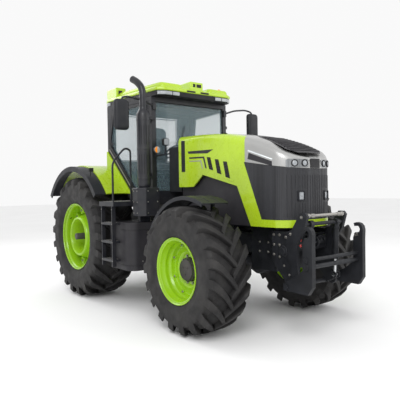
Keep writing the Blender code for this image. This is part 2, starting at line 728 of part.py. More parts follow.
def silver_block(margin):
    """What the silver panel takes of the hood: the tongue on top and the band round the nose."""
    y = FRONT_AXLE_Y
    tongue = prism(top_region(margin), "Z", 2.05, 2.9)
    under = [
        (y - 0.335 - margin, 2.0),
        (y - 0.335 - margin, 2.118 + margin),
        (NOSE_Y - 0.4, 1.967 + margin),
        (NOSE_Y - 0.4, 1.8),
    ]
    cut(tongue, prism(under, "X", -0.7, 0.7))
    band = [
        (y - 0.43 - margin, 2.3),
        (y - 0.36 - margin, 2.127 + margin),
        (NOSE_Y - 0.35, 1.972 + margin),
        (NOSE_Y - 0.35, 2.3),
    ]
    return join(tongue, prism(band, "X", -0.58, 0.58))


HOOD_AXIS = (HOOD_REAR_Y - 0.005, 2.505)
HINGE_PIN = 0.012
COWL_FRONT_Y = HOOD_REAR_Y + 0.03
COWL_TOP_Z = 2.43


def make_hood(lime, silver, mesh_black):
    """A tilting hood in one thickness, split into lime shell, silver top and dark grille."""
    inner_bottom = HOOD_BOTTOM_Z - 0.2
    skin = cut(hood_body(0, HOOD_BOTTOM_Z, 0), hood_body(HOOD_SKIN, inner_bottom, 0.2))
    lower = hood_lower_edge(0) + [(HOOD_REAR_Y + 0.1, 1.817)]
    lower += [(HOOD_REAR_Y + 0.1, 1.0), (FRONT_AXLE_Y - 0.44, 1.0)]
    cut(skin, prism(lower, "X", -0.7, 0.7))
    twin = skin.copy()
    twin.data = skin.data.copy()
    third = skin.copy()
    third.data = skin.data.copy()
    for copy in (twin, third):
        bpy.context.scene.collection.objects.link(copy)
    cut(skin, prism(grille_region(0), "X", -0.7, 0.7), silver_block(0))
    for side in (-1, 1):
        x = sorted((side * 0.325, side * 0.345))
        y, z = HOOD_AXIS
        ear = [(y - 0.028, hood_top(y) - HOOD_SKIN + 0.002), (y - 0.028, z - 0.01), (y, z - 0.028)]
        ear += [(y + 0.02, z - 0.01), (y + 0.0045, hood_top(y) - HOOD_SKIN + 0.002)]
        join(skin, prism(ear, "X", *x))
    bore = rod((-0.4, *HOOD_AXIS), (0.4, *HOOD_AXIS), HINGE_PIN + PIN_GAP, "X", 20)
    cut(skin, bore)
    pivot = (0, *HOOD_AXIS)
    finish(skin, "hood_shell", lime, pivot)
    combine(twin, prism(grille_region(GAP), "X", -0.7, 0.7), "INTERSECT")
    finish(twin, "front_grille", mesh_black, pivot)
    combine(third, silver_block(GAP), "INTERSECT")
    finish(third, "hood_top_panel", silver, pivot)


def make_side_panels(charcoal):
    """Fixed skirts tucked inside the hood's lower edge, on brackets from the engine."""
    y = FRONT_AXLE_Y
    outline = [(point_y, z + 0.035) for point_y, z in hood_lower_edge(0)]
    outline[0] = (y - 0.44, HOOD_BOTTOM_Z)
    outline += [(HOOD_REAR_Y, 1.47), (y + 0.30, 1.47), (y + 0.05, HOOD_BOTTOM_Z)]
    panel = prism(outline, "X", 0.412, 0.432)
    for place in (y + 0.55, HOOD_REAR_Y - 0.12):
        join(panel, box((HOUSING_HALF + GAP, 0.42), (place - 0.03, place + 0.03), (1.60, 1.66)))
    finish_pair(panel, "side_panel", charcoal)


def make_cowl(black):
    """The fixed bulkhead cover between hood and cab, with the hood's hinge pins."""
    y = COWL_FRONT_Y
    outline = [(y, 1.75), (CAB_FRONT_Y - GAP, 1.75), (CAB_FRONT_Y - GAP, COWL_TOP_Z), (y, COWL_TOP_Z)]
    cowl = prism(outline, "X", -0.43, 0.43)
    for side in (-1, 1):
        x = sorted((side * 0.28, side * 0.31))
        lug_y, z = HOOD_AXIS
        lug = [(lug_y - 0.02, z + 0.02), (lug_y - 0.02, z - 0.03), (y + 0.01, 2.36)]
        lug += [(y + 0.05, 2.36), (lug_y + 0.02, z + 0.02)]
        join(cowl, prism(lug, "X", *x))
        pin = sorted((side * 0.30, side * 0.36))
        join(cowl, rod((pin[0], lug_y, z), (pin[1], lug_y, z), HINGE_PIN, "X", 20))
    finish(cowl, "cowl", black, smooth=False)


# ---------------------------------------------------------------- cab
def wall_x(y):
    """Half width of the cab's outer face, which widens to the rear."""
    slope = (CAB_SIDE_HALF - CAB_FRONT_HALF) / (CAB_WIDEST_Y - CAB_FRONT_Y)
    return CAB_FRONT_HALF + slope * (y - CAB_FRONT_Y)


def cab_plan(offset):
    """The cab's plan, moved out by an offset, as (x, y)."""
    half = [
        (CAB_FRONT_HALF + offset, CAB_FRONT_Y - offset),
        (CAB_SIDE_HALF + offset, CAB_WIDEST_Y),
        (CAB_REAR_HALF + offset, CAB_REAR_Y + offset),
    ]
    return half + [(-x, y) for x, y in reversed(half)]


def arch(radius, inner_x, side):
    """The round space over a rear wheel, outboard of inner_x."""
    low, high = sorted((side * inner_x, side * 1.6))
    return rod((low, REAR_AXLE_Y, REAR_TYRE_RADIUS), (high, REAR_AXLE_Y, REAR_TYRE_RADIUS), radius, "X", 36)


DOOR_FRONT_Y = CAB_FRONT_Y + 0.06
DOOR_REAR_Y = CAB_WIDEST_Y - 0.02
DOOR_SILL_Z = CAB_FLOOR_Z + 0.06
DOOR_TOP_Z = CAB_TOP_Z - 0.06
FRAME_BORDER = 0.045


def door_outline(inset):
    """The door in side view: a tall pane whose lower rear corner slopes over the fender."""
    slope = 0.6 * inset
    return [
        (DOOR_FRONT_Y + inset, DOOR_SILL_Z + inset),
        (DOOR_FRONT_Y + 0.40 - slope, DOOR_SILL_Z + inset),
        (DOOR_REAR_Y - inset, 2.50 + inset + 0.3 * slope),
        (DOOR_REAR_Y - 0.13 - inset, DOOR_TOP_Z - inset),
        (DOOR_FRONT_Y + inset, DOOR_TOP_Z - inset),
    ]


def wall_slab(outline, inner, outer):
    """A slab parallel to the cab's side, between two offsets from its outer face."""
    return prism(outline, "X", lambda y, z: wall_x(y) + inner, lambda y, z: wall_x(y) + outer)


HINGE_HEIGHTS = (1.95, 2.80)
DOOR_PIN = 0.008


def door_axis():
    y = DOOR_FRONT_Y - 0.005
    return (wall_x(y) + 0.016, y)


def make_cab_frame(black):
    """Pillars, headers, sills and inner wheel arches in one welded frame, open for doors and glass."""
    low, high = CAB_FLOOR_Z, CAB_TOP_Z
    frame = prism(cab_plan(0), "Z", low, high)
    space = prism(cab_plan(-CAB_WALL), "Z", low - 0.1, high + 0.1)
    for side in (-1, 1):
        cut(frame, arch(ARCH_RADIUS, ARCH_INNER_X, side))
        cut(space, arch(ARCH_RADIUS + ARCH_SKIN, ARCH_INNER_X - ARCH_SKIN, side))
    cut(frame, space)
    opening = wall_slab(door_outline(0), -0.12, 0.05)
    twin = mirrored(opening)
    cut(frame, opening, twin)
    y = CAB_FRONT_Y
    cut(frame, box((-0.67, 0.67), (y - 0.02, y + CAB_WALL + 0.01), (WINDSHIELD_Z[0], WINDSHIELD_Z[1])))
    y = CAB_REAR_Y
    cut(frame, box((-0.66, 0.66), (y - CAB_WALL - 0.01, y + 0.02), (REAR_WINDOW_Z[0], REAR_WINDOW_Z[1])))
    x, y = door_axis()
    for side in (-1, 1):
        for height in HINGE_HEIGHTS:
            lug_x = sorted((side * (wall_x(y) - 0.02), side * (x + 0.011)))
            lug = box(lug_x, (y - 0.045, y + 0.002), (height, height + 0.045))
            pin = rod((side * x, y, height + 0.01), (side * x, y, height + 0.10), DOOR_PIN, "Z")
            join(frame, lug, pin)
    for x in (-0.5, 0.5):
        wide = (x - 0.03, x + 0.03)
        high = REAR_AXIS[1]
        lug = box(wide, (CAB_REAR_Y - 0.01, REAR_AXIS[0] + 0.011), (high - 0.011, high + 0.011))
        pin = rod((x - 0.06, *REAR_AXIS), (x, *REAR_AXIS), DOOR_PIN, "X")
        join(frame, lug, pin)
    rail = [(0.71, CAB_FRONT_Y + 0.01, 1.98), (0.71, CAB_FRONT_Y - 0.07, 1.98)]
    rail += [(0.71, CAB_FRONT_Y - 0.07, 2.72), (0.71, CAB_FRONT_Y + 0.01, 2.72)]
    join(frame, tube(rounded_path(rail, 0.04, 2), 0.014, 6))
    finish(frame, "cab_frame", black)


WINDSHIELD_Z = (1.76, CAB_TOP_Z - 0.07)
REAR_WINDOW_Z = (2.30, CAB_TOP_Z - 0.08)
REAR_AXIS = (CAB_REAR_Y + 0.026, REAR_WINDOW_Z[1] + 0.014)


def make_glass(glass):
    """Windscreen, fixed in the front opening, and the rear window that hinges at its top."""
    y = CAB_FRONT_Y + 0.02
    edge = 0.67 - GAP
    z = (WINDSHIELD_Z[0] + GAP, WINDSHIELD_Z[1] - GAP)
    finish(box((-edge, edge), (y, y + GLASS), z), "windshield", glass, smooth=False)

    low, high = REAR_WINDOW_Z[0] + RUNNING_GAP, REAR_WINDOW_Z[1] - RUNNING_GAP
    y = CAB_REAR_Y
    edge = 0.66 - RUNNING_GAP
    pane = box((-edge, edge), (y - 0.02, y), (low, high))
    for x in (-0.5, 0.5):
        wide = (x - 0.055, x - 0.035)
        pin_y, pin_z = REAR_AXIS
        leaf = [(y - 0.015, high - 0.05), (y + 0.02, high - 0.05), (pin_y + 0.018, pin_z - 0.01)]
        leaf += [(pin_y + 0.018, pin_z + 0.016), (pin_y - 0.018, pin_z + 0.016)]
        leaf += [(pin_y - 0.018, pin_z - 0.016), (y + 0.002, high - 0.01), (y - 0.015, high - 0.01)]
        join(pane, prism(leaf, "X", *wide))
    bore = rod((-0.62, *REAR_AXIS), (0.62, *REAR_AXIS), DOOR_PIN + PIN_GAP, "X")
    cut(pane, bore)
    finish(pane, "rear_window", glass, (0, *REAR_AXIS), smooth=False)


def make_doors(black, glass):
    """Doors hinged on the front pillars, each a full-thickness frame round its own pane."""
    inset = RUNNING_GAP
    frame = wall_slab(door_outline(inset), -CAB_WALL, 0)
    cut(frame, wall_slab(door_outline(inset + FRAME_BORDER), -CAB_WALL - 0.02, 0.02))
    x, y = door_axis()
    for height in HINGE_HEIGHTS:
        bottom = height + 0.05
        ear = [(x - 0.013, y - 0.004), (x - 0.006, y - 0.011), (x + 0.011, y - 0.011), (x + 0.011, y + 0.011)]
        far = y + 0.06
        ear += [(wall_x(far) + 0.004, far), (wall_x(far) - 0.01, far), (wall_x(y) - 0.008, y + 0.013)]
        ear += [(x - 0.013, y + 0.011)]
        join(frame, prism(ear, "Z", bottom, bottom + 0.045))
        cut(frame, rod((x, y, bottom - 0.01), (x, y, bottom + 0.06), DOOR_PIN + PIN_GAP, "Z"))
    pivot = (x, y, DOOR_SILL_Z)
    finish_pair(frame, "door", black, pivot)
    pane = wall_slab(door_outline(inset + FRAME_BORDER + GAP), -0.03, -0.03 + GLASS)
    finish_pair(pane, "door_glass", glass, pivot)


def make_cab_floor(black):
    """The floor pan under the cab frame, on four mounts over the gearbox."""
    low, high = CAB_FLOOR_Z - 0.10, CAB_FLOOR_Z - GAP
    floor = prism(cab_plan(0), "Z", low, high)
    for side in (-1, 1):
        cut(floor, arch(ARCH_RADIUS, ARCH_INNER_X, side))
        for y in (CAB_FRONT_Y + 0.20, CAB_FRONT_Y + 0.85):
            x = sorted((side * 0.14, side * 0.24))
            join(floor, box(x, (y - 0.05, y + 0.05), (HOUSING_TOP_Z + GAP, low + 0.02)))
    finish(floor, "cab_floor", black, smooth=False)


def make_roof(lime):
    """A deep roof with two raised pods, a sensor box in front and one at the rear right corner."""
    y, z = CAB_FRONT_Y, CAB_TOP_Z
    plan = [(0.62, y - 0.20), (0.73, y - 0.13), (0.87, y + 1.20), (0.78, y + 1.40)]
    plan += [(-px, py) for px, py in reversed(plan)]
    roof = prism(plan, "Z", z + GAP, z + 0.13)
    for side in (-1, 1):
        pod = []
        for height, shrink in ((z + 0.12, 0.0), (z + 0.19, 0.03), (z + 0.215, 0.08)):
            outline = [(0.26, -0.16), (0.66, -0.16), (0.83, 1.22), (0.26, 1.30)]
            centre = (0.52, 0.55)
            for px, py in outline:
                nx = px + (centre[0] - px) * shrink * 2
                ny = py + (centre[1] - py) * shrink
                pod.append((side * nx, y + ny, height))
        faces = [(0, 1, 2, 3), (8, 9, 10, 11)]
        for ring in range(2):
            for i in range(4):
                j = (i + 1) % 4
                faces.append((ring * 4 + i, ring * 4 + j, ring * 4 + 4 + j, ring * 4 + 4 + i))
        join(roof, mesh_object(pod, faces))
    join(roof, box((-0.125, 0.125), (y - 0.17, y + 0.13), (z + 0.11, z + 0.27)))
    join(roof, box((-0.84, -0.66), (y + 0.92, y + 1.26), (z + 0.11, z + 0.29)))
    finish(roof, "roof", lime, smooth=False)


SEAT_Y = CAB_FRONT_Y + 0.87
SEAT_Z = 2.12


def make_seat(iron, fabric):
    """A suspension base with a cushion and a backrest as plain soft solids."""
    y, z = SEAT_Y, SEAT_Z
    floor = CAB_FLOOR_Z
    base = box((-0.17, 0.17), (y - 0.16, y + 0.20), (floor, floor + 0.10))
    neck = box((-0.11, 0.11), (y - 0.10, y + 0.12), (floor + 0.09, z - 0.05))
    pan = box((-0.25, 0.25), (y - 0.24, y + 0.26), (z - 0.06, z))
    back = box((-0.17, 0.17), (y + 0.24, y + 0.26), (z - 0.05, z + 0.55))
    finish(join(base, neck, pan, back), "seat_base", iron, smooth=False)
    cushion = box((-0.26, 0.26), (y - 0.27, y + 0.22), (z + GAP, z + 0.12))
    finish(cushion, "seat_cushion", fabric, smooth=False)
    top = box((-0.25, 0.25), (y + 0.13, y + 0.24 - GAP), (z + 0.13, z + 0.78))
    finish(top, "seat_back", fabric, smooth=False)


WHEEL_CENTRE = (0.0, CAB_FRONT_Y + 0.42, 2.42)
COLUMN_ANGLE = 32
STEERING_RADIUS = 0.20
COLUMN_TIP = 0.012


def column_axis():
    angle = math.radians(COLUMN_ANGLE)
    return Vector((0, math.sin(angle), math.cos(angle)))


def make_dashboard(plastic):
    """A pedestal with the instrument panel and the leaning steering column."""
    y, floor = CAB_FRONT_Y + 0.06, CAB_FLOOR_Z
    outline = [(y, floor), (y + 0.26, floor), (y + 0.20, 2.10), (y + 0.24, 2.24), (y + 0.06, 2.30), (y, 2.20)]
    dash = prism(outline, "X", -0.17, 0.17)
    axis = column_axis()
    centre = Vector(WHEEL_CENTRE)
    join(dash, tube([centre - axis * 0.42, centre - axis * 0.035], 0.028, 12))
    join(dash, tube([centre - axis * 0.05, centre + axis * 0.012], COLUMN_TIP, 16))
    finish(dash, "dashboard", plastic)


def make_steering_wheel(plastic):
    """A rim, three spokes and a hub that turns on the column's tip."""
    axis = column_axis()
    centre = Vector(WHEEL_CENTRE)
    turn = axis.to_track_quat("Z", "Y").to_matrix().to_4x4()
    steps, sides = 20, 6
    points = []
    for k in range(steps):
        around = 2 * math.pi * k / steps
        for s in range(sides):
            angle = 2 * math.pi * s / sides
            radius = STEERING_RADIUS - 0.013 + 0.013 * math.cos(angle)
            points.append((radius * math.cos(around), radius * math.sin(around), 0.013 * math.sin(angle)))
    faces = []
    for k in range(steps):
        for s in range(sides):
            a, b = k * sides, ((k + 1) % steps) * sides
            t = (s + 1) % sides
            faces.append((a + s, a + t, b + t, b + s))
    wheel = mesh_object(points, faces)
    for k in range(3):
        angle = math.radians(90 + 120 * k)
        end = ((STEERING_RADIUS - 0.013) * math.cos(angle), (STEERING_RADIUS - 0.013) * math.sin(angle), 0)
        join(wheel, tube([(0, 0, 0), end], 0.009, 6))
    join(wheel, rod((0, 0, -0.025), (0, 0, 0.028), 0.045, "Z", 12))
    cut(wheel, rod((0, 0, -0.04), (0, 0, 0.018), COLUMN_TIP + PIN_GAP, "Z", 16))
    wheel.data.transform(Matrix.Translation(centre) @ turn)
    finish(wheel, "steering_wheel", plastic, WHEEL_CENTRE)


# ---------------------------------------------------------------- rear fenders
def fender_arc(inner, outer, front, rear, steps=10):
    """A curved strip over the rear wheel, between two angles from the rear axle."""
    centre = (REAR_AXLE_Y, REAR_TYRE_RADIUS)
    return arc(centre, outer, front, rear, steps) + arc(centre, inner, rear, front, steps)


def make_rear_fenders(lime, black):
    """A lime fender that rises beside the door, and a black flare along its outer edge."""
    seam = 1.20
    sheet = prism(fender_arc(ARCH_RADIUS, ARCH_RADIUS + ARCH_SKIN, 143, 40), "X", ARCH_INNER_X, seam)
    inner_wall = prism(
        [(CAB_REAR_Y + 0.02, 2.15), (CAB_REAR_Y + 0.02, 1.70), (REAR_AXLE_Y + 0.75, 1.70)]
        + arc((REAR_AXLE_Y, REAR_TYRE_RADIUS), ARCH_RADIUS + 0.01, 41, 98, 8),
        "X",
        ARCH_INNER_X,
        ARCH_INNER_X + 0.015,
    )
    join(sheet, inner_wall)
    cut(sheet, prism(cab_plan(GAP), "Z", 1.0, 3.0))
    panel = [
        (DOOR_FRONT_Y + 0.46, DOOR_SILL_Z + 0.01),
        (DOOR_REAR_Y + 0.005, 2.44),
        (CAB_WIDEST_Y - 0.004, 2.44),
        (CAB_WIDEST_Y - 0.004, 2.12),
        (DOOR_FRONT_Y + 0.60, DOOR_SILL_Z + 0.01),
    ]
    arch_tool = arch(ARCH_RADIUS + 0.01, 0.5, 1)
    rise = wall_slab(panel, GAP, 0.03)
    cut(rise, arch_tool)
    join(sheet, rise)
    finish_pair(sheet, "rear_fender", lime)

    flare = prism(fender_arc(ARCH_RADIUS - 0.02, ARCH_RADIUS + 0.005, 143, 36), "X", seam + GAP, 1.385)
    join(flare, prism(fender_arc(ARCH_RADIUS - 0.08, ARCH_RADIUS - 0.01, 143, 36), "X", 1.365, 1.385))
    finish_pair(flare, "fender_flare", black)


# ---------------------------------------------------------------- side equipment
STACK = (-0.95, CAB_FRONT_Y - 0.10)
AFTER_Z = (1.40, 1.82)
TOOLBOX_Z = (0.60, 1.31)
SIDE_FRONT_Y = CAB_FRONT_Y - 0.10
SIDE_REAR_Y = CAB_FRONT_Y + 0.54


def make_exhaust(black):
    """A silencer and an outlet pipe that bends back over the roof's corner."""
    x, y = STACK
    bottom = AFTER_Z[1] + GAP
    profile = [(0, 0), (0, 0.085), (0.04, 0.098), (1.08, 0.098), (1.15, 0.058), (1.18, 0.055), (1.18, 0)]
    stack = turned(profile, (x, y, bottom), "Z", 16)
    path = [(x, y, bottom + 1.15), (x, y, 3.22), (x - 0.01, y + 0.02, 3.30)]
    path += [(x - 0.03, y + 0.10, 3.385), (x - 0.05, y + 0.20, 3.44)]
    outlet = tube(path, 0.052, 12)
    join(stack, outlet)
    join(stack, box((x + 0.06, -0.70), (CAB_FRONT_Y - 0.04, CAB_FRONT_Y - GAP), (2.84, 2.89)))
    cut(stack, tube([path[-2], Vector(path[-1]) + Vector((-0.02, 0.10, 0.055))], 0.044, 12))
    finish(stack, "exhaust_stack", black)


def make_aftertreatment(black):
    """The box under the silencer, on a short stand over the toolbox."""
    y = STACK[1]
    plan = [(-0.76, y - 0.12), (-1.0, y - 0.12)] + [(-1.09, y - 0.04), (-1.09, y + 0.12), (-0.76, y + 0.12)]
    case = prism(plan, "Z", *AFTER_Z)
    stand_z = (TOOLBOX_Z[1] + GAP, AFTER_Z[0] + 0.02)
    stand = box((-1.02, -0.84), (SIDE_FRONT_Y + 0.02, SIDE_FRONT_Y + 0.10), stand_z)
    finish(join(case, stand), "aftertreatment_box", black, smooth=False)


def side_tank(bottom, top, corner):
    """A tank or locker beside the gearbox, with a rounded outer front corner and its bracket."""
    front, rear = SIDE_FRONT_Y, SIDE_REAR_Y
    plan = [(TANK_INNER_X, rear), (TANK_INNER_X, front)]
    plan += arc((TANK_OUTER_X - corner, front + corner), corner, -90, 0, 6)
    plan += [(TANK_OUTER_X, rear)]
    tank = prism(plan, "Z", bottom, top)
    bracket = box((HOUSING_HALF + GAP, TANK_INNER_X + 0.02), (front + 0.15, front + 0.35), (0.85, 1.05))
    return join(tank, bracket)


def make_side_boxes(dark):
    """A locker on the right and the fuel tank on the left."""
    locker = side_tank(TOOLBOX_Z[0], TOOLBOX_Z[1], 0.16)
    toolbox = mirrored(locker)
    bpy.data.objects.remove(locker)
    finish(toolbox, "toolbox_right", dark)
    finish(side_tank(0.55, 1.42, 0.10), "fuel_tank_left", dark)


TREAD_HEIGHTS = (0.72, 0.995, 1.27)
STEP_PLATFORM_Z = (1.55, 1.62)
LADDER_Y = (CAB_FRONT_Y + 0.21, CAB_FRONT_Y + 0.565)


def make_steps(black, with_rail):
    """A ladder of three treads under a platform, against the outer face of the tank."""
    front, rear = LADDER_Y
    steps = box((0.83, LADDER_OUTER_X), (front - 0.05, rear + 0.06), STEP_PLATFORM_Z)
    rail_z = (0.65, STEP_PLATFORM_Z[0] + 0.02)
    for y in (front, rear - 0.018):
        join(steps, box((LADDER_OUTER_X - 0.06, LADDER_OUTER_X), (y, y + 0.018), rail_z))
    depth = (TANK_OUTER_X + GAP, LADDER_OUTER_X)
    tread_y = (front + 0.01, min(rear - 0.01, SIDE_REAR_Y + 0.02))
    for height in TREAD_HEIGHTS:
        join(steps, box(depth, tread_y, (height, height + 0.035)))
    if with_rail:
        y = front
        low = STEP_PLATFORM_Z[1] - 0.02
        path = [(1.305, y, low), (1.305, y, 2.20), (1.10, y, 2.42), (1.0, y, 2.40), (1.0, y, low)]
        join(steps, tube(rounded_path(path, 0.07, 3), 0.016, 6))
    return steps


def make_ladders(black):
    left = make_steps(black, False)
    right = make_steps(black, True)
    twin = mirrored(right)
    bpy.data.objects.remove(right)
    finish(left, "steps_left", black, smooth=False)
    finish(twin, "steps_right", black)


MIRROR_X = (1.175, 1.405)


def make_mirrors(black):
    """A tall mirror head on an arm from the front pillar."""
    y = CAB_FRONT_Y
    head = box(MIRROR_X, (y - 0.12, y - 0.04), (2.65, 3.09))
    arm_y = y - 0.018
    path = [(0.70, arm_y, 3.05), (0.92, arm_y, 3.12), (1.16, arm_y - 0.01, 3.15)]
    path += [(1.27, y - 0.06, 3.12), (1.29, y - 0.08, 3.05)]
    arm = tube(rounded_path(path, 0.05, 2), 0.0145, 6)
    foot = box((0.675, 0.725), (y - 0.035, y - GAP), (3.0, 3.10))
    finish_pair(join(head, arm, foot), "mirror", black)


# ---------------------------------------------------------------- the tractor
def main():
    clear_scene()
    lime = material("lime_paint", LIME, 0.3)
    black = material("black_plastic", BLACK, 0.5)
    charcoal = material("charcoal_panel", CHARCOAL, 0.5)
    silver = material("silver_paint", SILVER, 0.35, 0.6)
    steel = material("bright_steel", STEEL, 0.25, 1.0)
    iron = material("black_iron", BLACK, 0.45, 0.3)
    rubber = material("tyre_rubber", TYRE_BLACK, 0.8)
    glass = material("tinted_glass", GLASS_TINT, 0.05, 0.0, 0.35)
    fabric = material("seat_fabric", FABRIC, 0.9)

    make_wheels(rubber, lime)
    make_front_axle(iron)
    make_knuckles(iron)
    make_front_fenders(black)
    make_front_frame(iron)
    make_cooling_pack(iron)
    make_engine(iron)
    make_drivetrain(iron)
    make_rear_linkage(steel, iron)
    make_front_hitch_frame(iron)
    make_front_links(iron)
    make_front_cylinders(iron, steel)
    make_hood(lime, silver, black)
    make_side_panels(charcoal)
    make_cowl(black)
    make_cab_frame(black)
    make_glass(glass)
    make_doors(black, glass)
    make_cab_floor(black)
    make_roof(lime)
    make_seat(iron, fabric)
    make_dashboard(black)
    make_steering_wheel(black)
    make_rear_fenders(lime, black)
    make_exhaust(black)
    make_aftertreatment(black)
    make_side_boxes(charcoal)
    make_ladders(black)
    make_mirrors(black)


main()
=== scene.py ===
"""The farm tractor's looks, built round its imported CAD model. All sizes are in metres."""

import json
import math

import bmesh
import bpy
import numpy as np
from mathutils import Matrix, Vector


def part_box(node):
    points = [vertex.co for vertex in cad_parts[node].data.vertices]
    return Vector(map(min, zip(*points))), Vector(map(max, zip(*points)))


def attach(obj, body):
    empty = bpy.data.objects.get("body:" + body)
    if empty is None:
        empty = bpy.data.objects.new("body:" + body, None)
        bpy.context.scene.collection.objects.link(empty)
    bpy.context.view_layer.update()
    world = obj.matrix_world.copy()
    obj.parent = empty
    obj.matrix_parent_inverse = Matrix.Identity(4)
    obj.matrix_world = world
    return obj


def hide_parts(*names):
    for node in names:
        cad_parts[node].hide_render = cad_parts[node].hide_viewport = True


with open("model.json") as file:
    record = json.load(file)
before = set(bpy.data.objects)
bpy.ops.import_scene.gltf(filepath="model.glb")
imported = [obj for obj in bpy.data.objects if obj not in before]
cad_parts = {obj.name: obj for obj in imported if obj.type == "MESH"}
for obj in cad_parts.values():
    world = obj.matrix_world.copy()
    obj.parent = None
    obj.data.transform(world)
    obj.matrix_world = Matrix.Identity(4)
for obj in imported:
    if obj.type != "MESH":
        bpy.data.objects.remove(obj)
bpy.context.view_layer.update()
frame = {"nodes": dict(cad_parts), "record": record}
SIDES = (("left", 1), ("right", -1))

# ---------------------------------------------------------------- driving sizes, as the CAD has them
FRONT_AXLE_Y = -1.39
REAR_AXLE_Y = 1.61
FRONT_TYRE = {
    "x": 1.04, "y": FRONT_AXLE_Y, "radius": 0.79, "width": 0.60, "flange": 0.41, "barrel": 0.385,
    "half": 0.283,
}
REAR_TYRE = {
    "x": 1.01, "y": REAR_AXLE_Y, "radius": 1.01, "width": 0.71, "flange": 0.563, "barrel": 0.538,
    "half": 0.305,
}
CAB_FRONT_Y = 0.01
CAB_TOP_Z = 3.20
CAB_REAR_Y = 1.36
CAB_WIDEST_Y = 1.19
HOOD_REAR_Y = -0.34
HOOD_LENGTH = 2.12
HOOD_BOTTOM_Z = 1.31
HOOD_SKIN = 0.02
NOSE_Y = HOOD_REAR_Y - HOOD_LENGTH
ARCH_RADIUS = 1.19
ARCH_SKIN = 0.025
ARCH_INNER_X = 0.62
FENDER_SEAM_X = 1.20


# ---------------------------------------------------------------- materials
class Nodes:
    """A new node material, with short calls for the nodes it is made of."""

    def __init__(self, name, **values):
        self.material = bpy.data.materials.new(name)
        self.material.use_nodes = True
        self.tree = self.material.node_tree
        self.shader = self.tree.nodes["Principled BSDF"]
        for socket, value in values.items():
            self.shader.inputs[socket.replace("_", " ")].default_value = value
        self.place = self.add("ShaderNodeTexCoord").outputs["Object"]

    def add(self, kind, **inputs):
        node = self.tree.nodes.new(kind)
        for socket, value in inputs.items():
            target = node.inputs[socket.replace("_", " ")]
            if isinstance(value, bpy.types.NodeSocket):
                self.tree.links.new(value, target)
            else:
                target.default_value = value
        return node

    def noise(self, scale, detail=4.0, stretch=None):
        place = self.place
        if stretch is not None:
            place = self.add("ShaderNodeMapping", Vector=place, Scale=stretch).outputs[0]
        return self.add("ShaderNodeTexNoise", Vector=place, Scale=scale, Detail=detail).outputs["Fac"]

    def ramp(self, value, stops):
        node = self.add("ShaderNodeValToRGB", Fac=value)
        while len(node.color_ramp.elements) < len(stops):
            node.color_ramp.elements.new(0.5)
        for element, (position, colour) in zip(node.color_ramp.elements, stops):
            element.position = position
            element.color = (*colour, 1)
        return node.outputs["Color"]

    def blend(self, value, first, second):
        node = self.add("ShaderNodeMix")
        node.data_type = "RGBA"
        for socket, item in ((0, value), (6, first), (7, second)):
            if isinstance(item, bpy.types.NodeSocket):
                self.tree.links.new(item, node.inputs[socket])
            else:
                node.inputs[socket].default_value = item if socket == 0 else (*item, 1)
        return node.outputs[2]

    def remap(self, value, low, high):
        node = self.add("ShaderNodeMapRange", Value=value)
        node.inputs["From Min"].default_value = 0.3
        node.inputs["From Max"].default_value = 0.7
        node.inputs["To Min"].default_value = low
        node.inputs["To Max"].default_value = high
        return node.outputs[0]

    def bump(self, height, strength, distance, edge=0.0):
        node = self.add("ShaderNodeBump", Height=height, Strength=strength, Distance=distance)
        if edge:
            bevel = self.add("ShaderNodeBevel", Radius=edge)
            bevel.samples = 4
            self.tree.links.new(bevel.outputs[0], node.inputs["Normal"])
        return node.outputs[0]

    def link(self, output, socket):
        self.tree.links.new(output, self.shader.inputs[socket])


def shade(colour, factor):
    return tuple(min(1.0, c * factor) for c in colour)


def painted(
    name, colour, roughness, metallic=0.0, coat=0.0, variation=0.08, edge=0.004, peel=0.05, shine=0.5,
):
    """Sprayed paint: a faint orange peel, slow change of tone and a little road dust."""
    m = Nodes(name, Metallic=metallic, Coat_Weight=coat, Coat_Roughness=0.06, Specular_IOR_Level=shine)
    slow = m.noise(1.7, 3.0)
    tone = m.ramp(slow, [(0.3, shade(colour, 1 - variation)), (0.7, shade(colour, 1 + variation))])
    dust = m.remap(m.noise(9.0, 6.0), 0.0, 0.05)
    m.link(m.blend(dust, tone, (0.28, 0.26, 0.22)), "Base Color")
    m.link(m.remap(m.noise(14.0, 5.0), roughness - 0.05, roughness + 0.07), "Roughness")
    m.link(m.bump(m.noise(420.0, 2.0), peel, 0.0006, edge), "Normal")
    return m.material


def moulded(name, colour, roughness, grain=700.0, edge=0.004, strength=0.25):
    """Grained moulded plastic."""
    m = Nodes(name, Specular_IOR_Level=0.28)
    tone = m.ramp(m.noise(2.3, 3.0), [(0.3, shade(colour, 0.85)), (0.7, shade(colour, 1.2))])
    dust = m.remap(m.noise(7.0, 6.0), 0.0, 0.045)
    m.link(m.blend(dust, tone, (0.20, 0.19, 0.17)), "Base Color")
    m.link(m.remap(m.noise(12.0, 4.0), roughness - 0.06, roughness + 0.08), "Roughness")
    m.link(m.bump(m.noise(grain, 3.0), strength, 0.0005, edge), "Normal")
    return m.material


def cast(name, colour, roughness=0.5):
    """Black paint over rough castings and plate."""
    m = Nodes(name, Metallic=0.1, Specular_IOR_Level=0.3)
    tone = m.ramp(m.noise(5.0, 6.0), [(0.3, shade(colour, 0.7)), (0.72, shade(colour, 1.5))])
    m.link(tone, "Base Color")
    m.link(m.remap(m.noise(20.0, 5.0), roughness - 0.1, roughness + 0.12), "Roughness")
    m.link(m.bump(m.noise(160.0, 6.0), 0.35, 0.0012, 0.003), "Normal")
    return m.material


